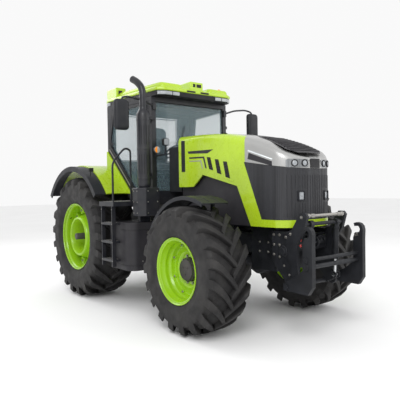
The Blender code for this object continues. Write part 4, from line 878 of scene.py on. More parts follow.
def make_hood_trim():
    y = FRONT_AXLE_Y
    for side, sign in SIDES:
        face = on_side(sign)
        for k in range(3):
            back = k * 0.167
            drop = k * 0.039
            vent = [
                (y + 0.39 - back, 2.224 - drop), (y + 0.316 - back, 2.216 - drop),
                (y + 0.258 - back, 2.033 - 0.02 * k - drop), (y + 0.344 - back, 2.056 - 0.02 * k - drop),
            ]
            patch(f"hood_vent_{side}_{k + 1}", vent, face, 0.0022, "trim_black", spacing=0.04)
            bars = Shape()
            for n in range(5):
                t = (n + 0.5) / 5
                z = vent[0][1] * (1 - t) + vent[3][1] * t
                rear, front = vent[0][0] * (1 - t) + vent[3][0] * t, vent[1][0] * (1 - t) + vent[2][0] * t
                x = hood_side_x(rear, z)
                low, high = sorted((sign * (x - 0.001), sign * (x + 0.006)))
                bars.box((low, high), (front + 0.006, rear - 0.006), (z - 0.007, z + 0.004))
            piece(f"hood_vent_bars_{side}_{k + 1}", bars, "black_plastic", "hood", bevel=0.0012)
        swoosh = [(y + 0.828, 2.331), (y + 0.25, 2.320), (y + 0.375, 2.274), (y + 0.802, 2.296)]
        patch(f"hood_swoosh_{side}", swoosh, face, 0.0012, "charcoal_panel", spacing=0.03)
        mark = [
            (y + 0.789, 2.245), (y + 0.447, 2.235), (y + 0.395, 2.071), (y + 0.425, 2.069),
            (y + 0.472, 2.213), (y + 0.789, 2.222),
        ]
        patch(f"hood_mark_{side}_1", mark, face, 0.0010, "charcoal_panel", spacing=0.03)
        mark = [
            (y + 0.789, 2.193), (y + 0.515, 2.186), (y + 0.476, 2.066), (y + 0.496, 2.065),
            (y + 0.532, 2.172), (y + 0.789, 2.179),
        ]
        patch(f"hood_mark_{side}_2", mark, face, 0.0010, "silver_paint", spacing=0.03)
        seal = [
            (HOOD_REAR_Y - 0.075, 2.50), (HOOD_REAR_Y - 0.160, 2.49), (HOOD_REAR_Y - 0.160, 2.04),
            (HOOD_REAR_Y - 0.075, 2.04),
        ]
        patch(f"hood_seal_{side}", seal, face, 0.005, "black_plastic", spacing=0.02)
        outer = [(y - 0.415, 2.262), (y - 0.40, 2.247), (y - 0.80, 2.118), (y - 0.812, 2.128)]
        patch(f"lamp_trim_{side}", outer, face, 0.004, "white_strip", spacing=0.03)
        insert = [(y - 0.42, 2.225), (y - 0.40, 2.150), (y - 0.80, 2.045), (y - 0.80, 2.098)]
        patch(f"side_insert_{side}", insert, face, 0.0025, "charcoal_panel", spacing=0.03)
        crease = [(y + 0.05, 1.925), (y - 0.13, 1.872), (y - 0.145, 1.885), (y + 0.05, 1.940)]
        patch(f"hood_crease_{side}", crease, face, 0.003, "lime_paint", spacing=0.03)
    insert = [(0.05, y - 0.10), (0.26, y - 0.42), (0.31, y - 0.90), (0.20, y - 0.99)]
    patch("hood_top_insert", mirrored_plan(insert), on_top, 0.0015, "charcoal_panel", spacing=0.04)
    slats = Shape()
    for k in range(11):
        at = y - 0.40 - 0.052 * k
        half = 0.20 + 0.06 * min(k / 8, 1.0)
        row = []
        for n in range(13):
            x = half * (n / 6 - 1)
            z = hood_top_z(x, at)
            row.append(
                [
                    (x, at + 0.013, z - 0.002), (x, at + 0.009, z + 0.008), (x, at - 0.012, z + 0.009),
                    (x, at - 0.016, z - 0.002),
                ]
            )
        slats.loft(row)
    piece("hood_top_slats", slats, "charcoal_panel", "hood", bevel=0.001)
    for side, sign in SIDES:
        lamp = [(sign * a, b) for a, b in rounded_rectangle((0.115, 0.385), (2.020, 2.118), 0.022)]
        patch(f"headlamp_bowl_{side}", lamp, on_nose, 0.003, "lamp_bowl", spacing=0.02)
        lenses, bezels = Shape(), Shape()
        for x in (0.175, 0.300):
            face = nose_face_y(x)
            lean = (nose_face_y(x + 0.01) - nose_face_y(x - 0.01)) / 0.02
            out = Vector((sign * lean, -1, 0)).normalized()
            at = Vector((sign * x, face, 2.070)) + out * 0.002
            bezels.turned(
                [(0, 0.030), (0, 0.042), (0.010, 0.042), (0.012, 0.038), (0.006, 0.030)], at, out, 40,
                closed=True,
            )
            lenses.turned(
                [(0, 0), (0, 0.031), (0.006, 0.031), (0.010, 0.024), (0.013, 0.012), (0.014, 0)], at, out, 40,
            )
        piece(f"headlamp_lenses_{side}", lenses, "clear_lens", "hood")
        piece(f"headlamp_bezels_{side}", bezels, "trim_black", "hood")
        low = Shape()
        low_lens = Shape()
        x, z = 0.228, 1.684
        face = nose_face_y(x)
        frame_outline = rounded_rectangle((-0.048, 0.048), (-0.060, 0.060), 0.010)
        hole = rounded_rectangle((-0.037, 0.037), (-0.048, 0.048), 0.008)
        lean = math.atan((nose_face_y(x + 0.02) - nose_face_y(x - 0.02)) / 0.04) * 0.6
        rows = []
        for outline, depth in ((frame_outline, 0.02), (frame_outline, -0.018), (hole, -0.018), (hole, 0.016)):
            rows.append([(sign * (x + a), face + depth + a * lean, z + b) for a, b in outline])
        low.rows(rows, along=True)
        low_lens.rows(
            [
                [(sign * (x + a * s), face + d + a * lean, z + b * s) for a, b in hole]
                for s, d in ((0.0, 0.014), (1.0, 0.014), (1.0, -0.002), (0.8, -0.009), (0.0, -0.012))
            ]
        )
        piece(f"work_lamp_frame_{side}", low, "black_plastic", "hood", bevel=0.002)
        piece(f"work_lamp_lens_{side}", low_lens, "clear_lens", "hood")
    badge = rounded_rectangle((-0.085, 0.085), (2.012, 2.125), 0.012)
    patch("nose_plate", badge, on_nose, 0.006, "trim_black", spacing=0.02)
    ribs = Shape()
    for k in range(-9, 10):
        x = k * 0.042
        if 0.16 < abs(x) < 0.30:
            spans = ((1.43, 1.60), (1.77, 1.93))
        else:
            spans = ((1.43, 1.93),)
        for low, high in spans:
            at = nose_face_y(x)
            ribs.box((x - 0.0022, x + 0.0022), (at - 0.003, at + 0.004), (low, high))
    piece("grille_ribs", ribs, "grille_mesh", "hood")


make_hood()
make_hood_trim()


# ---------------------------------------------------------------- fenders
def make_front_fenders():
    y, z = FRONT_AXLE_Y, FRONT_TYRE["radius"]
    inner, outer, x = z + 0.10, z + 0.12, 0.78
    guard = Shape()
    guard.prism(sector((y, z), outer, inner + 0.006, 115, 5, 44), "X", x, x + 0.40)
    guard.prism(sector((y, z), outer - 0.002, inner - 0.03, 114.5, 5.5, 44), "X", x + 0.388, x + 0.408)
    guard.prism(sector((y, z), outer - 0.002, inner - 0.012, 114.5, 5.5, 44), "X", x, x + 0.014)
    for across in (0.12, 0.26):
        guard.prism(
            sector((y, z), outer + 0.004, inner + 0.012, 112, 8, 40), "X", x + across, x + across + 0.016,
        )
    pair("front_mudguard", guard, "black_plastic", "knuckle_{}_body", bevel=0.003, replaces="front_fender")
    foot_x, top, low = x - 0.062, z + inner + 0.01, 0.956
    stay = Shape().box((foot_x - 0.018, foot_x + 0.018), (y - 0.05, y + 0.05), (low, low + 0.034))
    stay.box((foot_x - 0.012, foot_x + 0.012), (y - 0.03, y + 0.03), (low + 0.02, top))
    stay.box((foot_x - 0.012, x + 0.03), (y - 0.03, y + 0.03), (top - 0.03, top))
    for sign in (-1, 1):
        stay.bolt((foot_x, y + sign * 0.036, low + 0.034), (0, 0, 1), 0.008, 0.008)
    pair("front_mudguard_stay", stay, "black_iron", "knuckle_{}_body", bevel=0.003)


def wall_x(y):
    """Half width of the cab's outer face."""
    return 0.74 + 0.14 / (CAB_WIDEST_Y - CAB_FRONT_Y) * (y - CAB_FRONT_Y)


def make_rear_fenders():
    y, z = REAR_AXLE_Y, REAR_TYRE["radius"]
    gap = 0.0015
    for side, sign in SIDES:
        turn = (lambda shape: shape) if sign > 0 else (lambda shape: shape.mirrored())
        outline = sector((y, z), ARCH_RADIUS + ARCH_SKIN, ARCH_RADIUS, 143, 40, 56)
        sheet = make_object(
            f"fender_sheet_{side}", turn(Shape().prism(outline, "X", ARCH_INNER_X, FENDER_SEAM_X)),
        )
        plan = [(0.74 + gap, CAB_FRONT_Y - gap), (0.88 + gap, CAB_WIDEST_Y), (0.76 + gap, CAB_REAR_Y + gap)]
        combine(sheet, cutter(mirrored_plan(plan), "Z", 1.0, 3.0), "DIFFERENCE")
        dress(sheet, "lime_paint", bevel=0.005, angle=40, segments=3)
        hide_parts(f"rear_fender_{side}")
        inner = [(CAB_REAR_Y + 0.02, 2.15), (CAB_REAR_Y + 0.02, 1.70), (y + 0.75, 1.70)]
        inner += arc((y, z), ARCH_RADIUS + 0.01, 41, 98, 30)
        piece(
            f"fender_inner_{side}", turn(Shape().prism(inner, "X", ARCH_INNER_X, ARCH_INNER_X + 0.015)),
            "black_plastic", bevel=0.002,
        )
        panel = [(0.53, 1.73), (1.175, 2.44), (1.186, 2.44), (1.186, 2.12), (0.67, 1.73)]
        rise = Shape()
        near = [(wall_x(a) + gap, a, b) for a, b in panel]
        far = [(wall_x(a) + 0.03, a, b) for a, b in panel]
        count = len(panel)
        rise.add(
            near + far,
            [tuple(range(count)), tuple(range(count, 2 * count))] + [
                (i, (i + 1) % count, count + (i + 1) % count, count + i)
                for i in range(count)
            ],
        )
        rise = make_object(f"fender_rise_{side}", turn(rise))
        low, high = span(sign, 0.5, 1.6)
        combine(
            rise,
            make_object(
                "cutter",
                Shape().turned([(low, 0), (low, 1.20), (high, 1.20), (high, 0)], (0, y, z), (1, 0, 0), 96),
            ),
            "DIFFERENCE",
        )
        dress(rise, "lime_paint", bevel=0.004, angle=40)
        flare = Shape()
        flare.prism(
            sector((y, z), ARCH_RADIUS + 0.005, ARCH_RADIUS - 0.02, 143, 36, 56), "X", FENDER_SEAM_X + 0.001,
            1.385,
        )
        flare.prism(sector((y, z), ARCH_RADIUS - 0.001, ARCH_RADIUS - 0.08, 143, 36, 56), "X", 1.366, 1.3845)
        piece(
            f"fender_flare_edge_{side}", turn(flare), "black_plastic", bevel=0.004,
            replaces=(f"fender_flare_{side}",),
        )
        # rear lamps under the fender's tail
        a = math.radians(41)
        at_y, at_z = y + (ARCH_RADIUS + 0.02) * math.cos(a), z + (ARCH_RADIUS + 0.02) * math.sin(a)
        lamp = Shape().box((0.86, 1.10), (at_y - 0.03, at_y + 0.035), (at_z - 0.07, at_z + 0.005))
        piece(f"tail_lamp_body_{side}", turn(lamp), "black_plastic", bevel=0.006)
        for name, reach, surface in (
            ("red", (0.87, 0.98), "red_lens"), ("amber", (0.985, 1.09), "orange_lens"),
        ):
            lens = Shape().box(reach, (at_y + 0.030, at_y + 0.041), (at_z - 0.062, at_z - 0.003))
            piece(f"tail_lamp_{name}_{side}", turn(lens), surface, bevel=0.003)
        # a marker lamp on a short stalk over the flare
        a = math.radians(121)
        foot = Vector(
            (1.30, y + (ARCH_RADIUS + 0.004) * math.cos(a), z + (ARCH_RADIUS + 0.004) * math.sin(a))
        )
        stalk = Shape().tube(
            [foot, foot + Vector((0, -0.01, 0.05)), foot + Vector((0, -0.02, 0.07))], 0.006, 10,
        )
        stalk.box((1.265, 1.335), (foot.y - 0.045, foot.y - 0.005), (foot.z + 0.06, foot.z + 0.12))
        piece(f"marker_stalk_{side}", turn(stalk), "trim_black", bevel=0.003)


make_front_fenders()
make_rear_fenders()


# ---------------------------------------------------------------- cab
def make_roof():
    y = CAB_FRONT_Y
    half = [(0.62, y - 0.20), (0.73, y - 0.13), (0.87, y + 1.20), (0.78, y + 1.40)]
    plan = mirrored_plan(half)
    inset = [(px - 0.016 if px > 0 else px + 0.016, py + (0.014 if py < 0.5 else -0.014)) for px, py in plan]
    band = Shape().prism(inset, "Z", CAB_TOP_Z + 0.0006, 3.288)
    piece("roof_band", band, "trim_black", bevel=0.012, segments=3)
    top = Shape().prism(plan, "Z", 3.276, 3.332)
    piece("roof_skin", top, "lime_paint", bevel=0.02, replaces=("roof",), segments=4)
    pods = Shape()
    for sign in (-1, 1):
        rows = []
        outline = rounded_polygon([(0.25, -0.165), (0.655, -0.165), (0.83, 1.22), (0.26, 1.30)], 0.06)
        for height, shrink in (
            (3.31, 0.0), (3.345, 0.0), (3.372, 0.006), (3.392, 0.022), (3.405, 0.05), (3.413, 0.10),
            (3.415, 0.16),
        ):
            rows.append(
                [
                    (sign * (px + (0.52 - px) * shrink * 2), y + py + (0.55 - py) * shrink, height)
                    for px, py in outline
                ]
            )
        pods.loft(rows)
    piece("roof_pods", pods, "lime_paint", angle=50)
    front_sensor = Shape().box((-0.125, 0.125), (y - 0.17, y + 0.13), (3.315, 3.468))
    piece("roof_front_sensor", front_sensor, "lime_paint", bevel=0.014, segments=3)
    rear_sensor = Shape().box((-0.84, -0.66), (y + 0.92, y + 1.26), (3.315, 3.488))
    piece("roof_rear_sensor", rear_sensor, "lime_paint", bevel=0.016, segments=3)
    eyes = Shape()
    for x, wide in ((-0.052, 0.022), (0.040, 0.045)):
        eyes.prism(
            [(x - wide, 3.385), (x + wide, 3.385), (x + wide, 3.435), (x - wide, 3.435)], "Y", y - 0.1745,
            y - 0.168,
        )
    eyes.prism([(-0.80, 3.375), (-0.73, 3.375), (-0.73, 3.44), (-0.80, 3.44)], "Y", y + 0.9155, y + 0.922)
    piece("sensor_windows", eyes, "trim_black", bevel=0.002)
    lamps = Shape()
    for sign in (-1, 1):
        for run in (
            [(0.355, -0.1885), (0.475, -0.1885)],
            [(0.49, -0.1885), (0.604, -0.1885), (0.625, -0.176), (0.709, -0.122)],
        ):
            rows = []
            for px, py in run:
                rows.append(
                    [
                        (sign * px, py + d, z)
                        for d, z in ((0.012, 3.212), (-0.002, 3.216), (-0.0035, 3.262), (0.012, 3.268))
                    ]
                )
            lamps.loft(rows)
    piece("roof_lamps_front", lamps, "clear_lens", bevel=0.002)
    backs, faces = Shape(), Shape()
    for x in (-0.62, -0.42, 0.42, 0.62):
        backs.box((x - 0.07, x + 0.07), (CAB_REAR_Y + 0.02, CAB_REAR_Y + 0.050), (3.215, 3.272))
        faces.box((x - 0.06, x + 0.06), (CAB_REAR_Y + 0.045, CAB_REAR_Y + 0.054), (3.222, 3.265))
    piece("roof_lamps_rear_bodies", backs, "trim_black", bevel=0.004)
    piece("roof_lamps_rear", faces, "clear_lens", bevel=0.003)
    corner = Shape()
    for sign in (-1, 1):
        rows = [
            [
                (sign * px, py, z)
                for px, py in ((0.853, 1.13), (0.866, 1.20), (0.862, 1.235), (0.846, 1.235), (0.840, 1.13))
            ]
            for z in (3.212, 3.262)
        ]
        corner.loft(rows)
    piece("roof_lamps_corner", corner, "clear_lens", bevel=0.003)
    domes = Shape()
    for px, py, z in ((-0.42, 0.50, 3.412), (0.56, -0.03, 3.405)):
        domes.turned(
            [(0, 0), (0, 0.036), (0.008, 0.036), (0.010, 0.030), (0.026, 0.026), (0.036, 0.014), (0.039, 0)],
            (px, py, z), (0, 0, 1), 32,
        )
    piece("roof_beacons", domes, "orange_lens")
    slots = Shape()
    for x0, x1 in ((-0.215, -0.05), (0.05, 0.215)):
        slots.box((x0, x1), (y - 0.2035, y - 0.18), (3.288, 3.314))
    piece("roof_front_slots", slots, "trim_black", bevel=0.003)


def rounded_polygon(corners, radius, steps=5):
    """A convex outline with rounded corners."""
    out = []
    count = len(corners)
    for i in range(count):
        before, corner, after = (Vector(corners[k % count]) for k in (i - 1, i, i + 1))
        back, ahead = (before - corner).normalized(), (after - corner).normalized()
        first, last = corner + back * radius, corner + ahead * radius
        out += [(point.x, point.y) for point in bend(first, corner, last, steps)]
    return out


def make_cab_trim():
    y = CAB_FRONT_Y
    wiper = Shape().tube(
        rounded([(0.05, y - 0.012, 1.80), (0.05, y - 0.030, 1.82), (-0.20, y - 0.030, 2.42)], 0.02), 0.006,
        10,
    )
    wiper.tube([(-0.34, y + 0.006, 2.02), (-0.12, y + 0.006, 2.80)], 0.006, 8)
    wiper.tube([(-0.20, y - 0.030, 2.42), (-0.228, y + 0.004, 2.42)], 0.005, 8)
    piece("wiper", wiper, "trim_black")
    seal = Shape()
    for low, high in ((1.757, 1.772), (3.117, 3.132)):
        seal.box((-0.672, 0.672), (y + 0.010, y + 0.019), (low, high))
    for sign in (-1, 1):
        seal.box(span(sign, 0.657, 0.672), (y + 0.010, y + 0.019), (1.757, 3.132))
    piece("windscreen_seal", seal, "trim_black", bevel=0.002)
    for side, sign in SIDES:
        def wall(py, pz, out):
            return Vector((sign * (wall_x(py) + out), py, pz))
        handle = Shape().tube(
            rounded(
                [
                    wall(1.03, 2.50, 0.0), wall(1.03, 2.50, 0.045), wall(1.02, 2.62, 0.045),
                    wall(1.02, 2.62, 0.0),
                ],
                0.025,
            ),
            0.009, 12,
        )
        handle.turned(
            [(-0.004, 0), (-0.004, 0.026), (0.006, 0.026), (0.009, 0.022), (0.009, 0)],
            wall(1.055, 2.56, 0.0), (sign, 0, 0), 24,
        )
        piece(f"door_handle_{side}", handle, "black_plastic", f"door_{side}_body")
        rail = Shape().tube(
            [wall(0.455, 1.742, 0.008), wall(0.52, 1.80, 0.008), wall(1.13, 2.475, 0.008)], 0.009, 10,
        )
        piece(f"door_sill_trim_{side}", rail, "zinc_bolt", f"door_{side}_body")
        hinge = Shape()
        for height in (1.95, 2.80):
            for n in (0.012, 0.032):
                hinge.bolt(wall(0.098, height + 0.05 + n, 0.004), (sign, 0, 0), 0.006, 0.005)
        piece(f"door_hinge_bolts_{side}", hinge, "zinc_bolt", f"door_{side}_body")
        outline = [(0.118, 1.768), (0.44, 1.768), (1.118, 2.555), (0.998, 3.092), (0.118, 3.092)]
        closed = outline + outline[:1]
        strip = Shape()
        for (y0, z0), (y1, z1) in zip(closed, closed[1:]):
            strip.tube([wall(y0, z0, 0.001), wall(y1, z1, 0.001)], 0.0045, 8)
        piece(f"door_gasket_{side}", strip, "trim_black", f"door_{side}_body")
    pivot_bits = Shape()
    pivot_bits.tube(
        rounded(
            [
                (-0.20, CAB_REAR_Y + 0.004, 2.345), (-0.20, CAB_REAR_Y + 0.045, 2.345),
                (0.20, CAB_REAR_Y + 0.045, 2.345), (0.20, CAB_REAR_Y + 0.004, 2.345),
            ],
            0.02,
        ),
        0.008, 12,
    )
    piece("rear_window_handle", pivot_bits, "black_plastic", "rear_window_panel")
    edge = Shape()
    for z in (2.312, 3.100):
        edge.box((-0.650, 0.650), (CAB_REAR_Y - 0.003, CAB_REAR_Y + 0.004), (z - 0.006, z + 0.008))
    for sign in (-1, 1):
        edge.box(span(sign, 0.636, 0.650), (CAB_REAR_Y - 0.003, CAB_REAR_Y + 0.004), (2.306, 3.108))
    piece("rear_window_border", edge, "trim_black", "rear_window_panel", bevel=0.001)
    # marker lamp, square work lamp and their bracket at the foot of the right pillar
    bracket = Shape().tube(
        rounded([(-0.70, y - 0.002, 2.30), (-0.70, y - 0.075, 2.30), (-0.53, y - 0.085, 2.33)], 0.04), 0.013,
        12,
    )
    bracket.tube([(-0.715, y - 0.07, 2.30), (-0.715, y - 0.07, 2.36)], 0.010, 10)
    bracket.tube([(-0.56, y - 0.085, 2.33), (-0.56, y - 0.085, 2.47)], 0.010, 10)
    piece("lamp_bracket", bracket, "black_iron")
    bodies = Shape().turned(
        [(0, 0), (0, 0.045), (0.03, 0.054), (0.045, 0.054), (0.045, 0)], (-0.715, y - 0.055, 2.385),
        (0, -1, 0), 40,
    )
    bodies.prism(rounded_rectangle((-0.612, -0.512), (2.455, 2.560), 0.018), "Y", y - 0.125, y - 0.070)
    piece("lamp_bodies", bodies, "trim_black", bevel=0.003)
    white = Shape().turned(
        [(0, 0), (0, 0.051), (0.008, 0.049), (0.012, 0.036), (0.014, 0)], (-0.715, y - 0.100, 2.385),
        (0, -1, 0), 40,
    )
    white.prism(rounded_rectangle((-0.604, -0.520), (2.463, 2.552), 0.014), "Y", y - 0.130, y - 0.124)
    piece("lamp_lenses", white, "clear_lens", bevel=0.001)
    amber = Shape().prism(arc((-0.715, 2.385), 0.047, 100, 260, 20), "Y", y - 0.1165, y - 0.112)
    piece("lamp_amber", amber, "orange_lens")


def make_mirrors():
    y = CAB_FRONT_Y
    arm_y = y - 0.018
    path = [
        (0.70, arm_y, 3.05), (0.92, arm_y, 3.12), (1.16, arm_y - 0.01, 3.15), (1.27, y - 0.06, 3.12),
        (1.29, y - 0.08, 3.05),
    ]
    arm = Shape().tube(rounded(path, 0.06, 8), 0.0145, 14)
    arm.box((0.675, 0.725), (y - 0.035, y - 0.0006), (3.0, 3.10))
    pair("mirror_arm", arm, "cab_paint", bevel=0.002, replaces="mirror")
    head = Shape()
    rows = []
    for depth, shrink in (
        (-0.030, 0.006), (-0.034, 0.0), (-0.075, 0.0), (-0.092, 0.008), (-0.104, 0.024), (-0.110, 0.05),
    ):
        outline = rounded_rectangle((1.177 + shrink, 1.403 - shrink), (2.652 + shrink, 3.088 - shrink), 0.05)
        rows.append([(px, depth, pz) for px, pz in outline])
    head.loft(rows)
    pair("mirror_head", head, "black_plastic", angle=50)
    main = Shape().prism(rounded_rectangle((1.190, 1.390), (2.800, 3.075), 0.035), "Y", -0.031, -0.0285)
    main.prism(rounded_rectangle((1.190, 1.390), (2.665, 2.785), 0.035), "Y", -0.031, -0.0285)
    pair("mirror_plate", main, "mirror_glass")


def make_steering_wheel():
    """A thick padded rim with three flat spokes and a domed centre."""
    centre = Vector((0, CAB_FRONT_Y + 0.42, 2.42))
    axis = Vector((0, math.sin(math.radians(32)), math.cos(math.radians(32))))
    turn = Matrix.Translation(centre) @ axis.to_track_quat("Z", "Y").to_matrix().to_4x4()
    wheel = Shape()
    profile = [
        (0.013 * math.sin(a), 0.187 + 0.013 * math.cos(a))
        for a in (2 * math.pi * k / 14 for k in range(14))
    ]
    wheel.turned(profile, (0, 0, 0), (0, 0, 1), 64, closed=True)
    for k in range(3):
        a = math.radians(90 + 120 * k)
        out, along = Vector((math.cos(a), math.sin(a), 0)), Vector((-math.sin(a), math.cos(a), 0))
        rows = []
        for r, w, lift in ((0.03, 0.024, 0.004), (0.08, 0.018, 0.0), (0.14, 0.015, 0.0), (0.182, 0.020, 0.0)):
            rows.append(
                [
                    out * r + along * w + Vector((0, 0, lift - 0.006)),
                    out * r - along * w + Vector((0, 0, lift - 0.006)),
                    out * r - along * w * 0.8 + Vector((0, 0, lift + 0.006)),
                    out * r + along * w * 0.8 + Vector((0, 0, lift + 0.006)),
                ]
            )
        wheel.loft(rows)
    wheel.turned(
        [
            (-0.025, 0.013), (-0.025, 0.040), (0.012, 0.047), (0.022, 0.042), (0.028, 0.025), (0.029, 0),
            (0.018, 0), (0.018, 0.013),
        ],
        (0, 0, 0), (0, 0, 1), 40,
    )
    wheel.points = [tuple(turn @ Vector(p)) for p in wheel.points]
    piece(
        "steering_wheel_rim", wheel, "black_plastic", "steering_wheel_body", replaces=("steering_wheel",),
        angle=40,
    )


def make_cab_inside():
    y = CAB_FRONT_Y
    screen = Shape().prism(rounded_rectangle((-0.10, 0.10), (2.295, 2.385), 0.015), "Y", y + 0.225, y + 0.250)
    piece("dash_hood", screen, "black_plastic", bevel=0.004)
    arm = Shape().box((-0.345, -0.275), (y + 0.60, y + 1.00), (2.33, 2.385))
    arm.tube([(-0.31, y + 0.98, 2.34), (-0.27, y + 1.09, 2.20)], 0.018, 12)
    piece("armrest", arm, "black_plastic", bevel=0.014, segments=3)
    stick = Shape().tube([(-0.31, y + 0.64, 2.38), (-0.31, y + 0.625, 2.45)], 0.010, 12)
    stick.turned(
        [(0, 0), (0, 0.016), (0.02, 0.024), (0.05, 0.022), (0.066, 0.012), (0.07, 0)],
        (-0.31, y + 0.627, 2.44), (0, -0.15, 1), 20,
    )
    piece("joystick", stick, "trim_black")
    display = Shape().tube(
        rounded([(-0.31, y + 0.60, 2.36), (-0.36, y + 0.50, 2.44), (-0.36, y + 0.44, 2.52)], 0.03), 0.009, 10,
    )
    display.prism(rounded_rectangle((-0.47, -0.25), (2.46, 2.62), 0.012), "Y", y + 0.40, y + 0.435)
    piece("display", display, "trim_black", bevel=0.002)
    blind = Shape().box((-0.60, 0.60), (y + 0.055, y + 0.085), (3.06, 3.13))
    piece("sun_blind", blind, "black_plastic", bevel=0.008)


make_roof()
make_cab_trim()
make_mirrors()
make_steering_wheel()
make_cab_inside()


# ---------------------------------------------------------------- seat
def simulated_pad(name, rows, node, pinned, cap):
    """A padded form blown up a little by a cloth simulation, with its swelling capped."""
    pad = make_object(name, Shape().loft(rows))
    remesh = pad.modifiers.new("remesh", "REMESH")
    remesh.mode = "VOXEL"
    remesh.voxel_size = 0.006
    depsgraph = bpy.context.evaluated_depsgraph_get()
    pad.data = bpy.data.meshes.new_from_object(pad.evaluated_get(depsgraph))
    pad.modifiers.clear()
    start = np.array([v.co[:] for v in pad.data.vertices])
    group = pad.vertex_groups.new(name="held")
    group.add([i for i, p in enumerate(start) if pinned(*p)], 1.0, "REPLACE")
    cloth = pad.modifiers.new("cloth", "CLOTH")
    cloth.settings.quality = 5
    cloth.settings.mass = 0.4
    cloth.settings.use_pressure = True
    cloth.settings.uniform_pressure_force = 4.0
    cloth.settings.effector_weights.gravity = 0.0
    cloth.settings.vertex_group_mass = "held"
    cloth.collision_settings.use_self_collision = False
    scene = bpy.context.scene
    cloth.point_cache.frame_start = 1
    cloth.point_cache.frame_end = 20
    for step in range(1, 21):
        scene.frame_set(step)
    depsgraph = bpy.context.evaluated_depsgraph_get()
    done = bpy.data.meshes.new_from_object(pad.evaluated_get(depsgraph))
    pad.modifiers.clear()
    pad.vertex_groups.clear()
    end = np.array([v.co[:] for v in done.vertices])
    move = end - start
    size = np.linalg.norm(move, axis=1, keepdims=True)
    move *= np.minimum(1.0, cap / np.maximum(size, 1e-9))
    for vertex, place in zip(pad.data.vertices, start + move):
        vertex.co = place
    scene.frame_set(1)
    smooth = pad.modifiers.new("smooth", "SUBSURF")
    smooth.levels = smooth.render_levels = 1
    dress(pad, "seat_fabric", angle=80)
    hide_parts(node)
    return pad


PAD_SECTIONS = ((0.0, 0.026), (0.05, 0.014), (0.3, 0.008), (0.65, 0.008), (0.86, 0.016), (0.94, 0.034))


def make_seat():
    (x0, y0, z0), (x1, y1, z1) = (tuple(c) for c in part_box("seat_cushion"))
    rows = []
    for t, shrink in PAD_SECTIONS:
        outline = rounded_rectangle((x0 + shrink, x1 - shrink), (y0 + shrink, y1 - shrink), 0.07, 8)
        rows.append(
            [
                (px, py, z0 + 0.004 + (z1 - z0 - 0.02) * t + 0.010 * (abs(px) / x1) ** 2 * t)
                for px, py in outline
            ]
        )
    simulated_pad("seat_cushion_pad", rows, "seat_cushion", lambda x, y, z: z < z0 + 0.02, 0.010)
    (x0, y0, z0), (x1, y1, z1) = (tuple(c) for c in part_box("seat_back"))
    rows = []
    for t, shrink in PAD_SECTIONS:
        row = []
        for px, pz in rounded_rectangle((x0 + shrink, x1 - shrink), (z0 + shrink, z1 - shrink), 0.08, 8):
            narrow = 1 - 0.20 * max((pz - z0) / (z1 - z0) - 0.62, 0.0) / 0.38
            row.append((px * narrow, y1 - 0.004 - (y1 - y0 - 0.02) * t - 0.012 * (abs(px) / x1) ** 2 * t, pz))
        rows.append(row)
    simulated_pad("seat_back_pad", rows, "seat_back", lambda x, y, z: y > y1 - 0.02, 0.010)
    piping = Shape()
    for x in (-0.105, 0.105):
        piping.tube([(x, 0.64, 2.233), (x, 0.80, 2.236), (x, 0.98, 2.233)], 0.0035, 8)
        piping.tube([(x * 0.9, 1.013, 2.30), (x * 0.9, 1.010, 2.55), (x * 0.85, 1.013, 2.80)], 0.0035, 8)
    piece("seat_piping", piping, "trim_black")


make_seat()


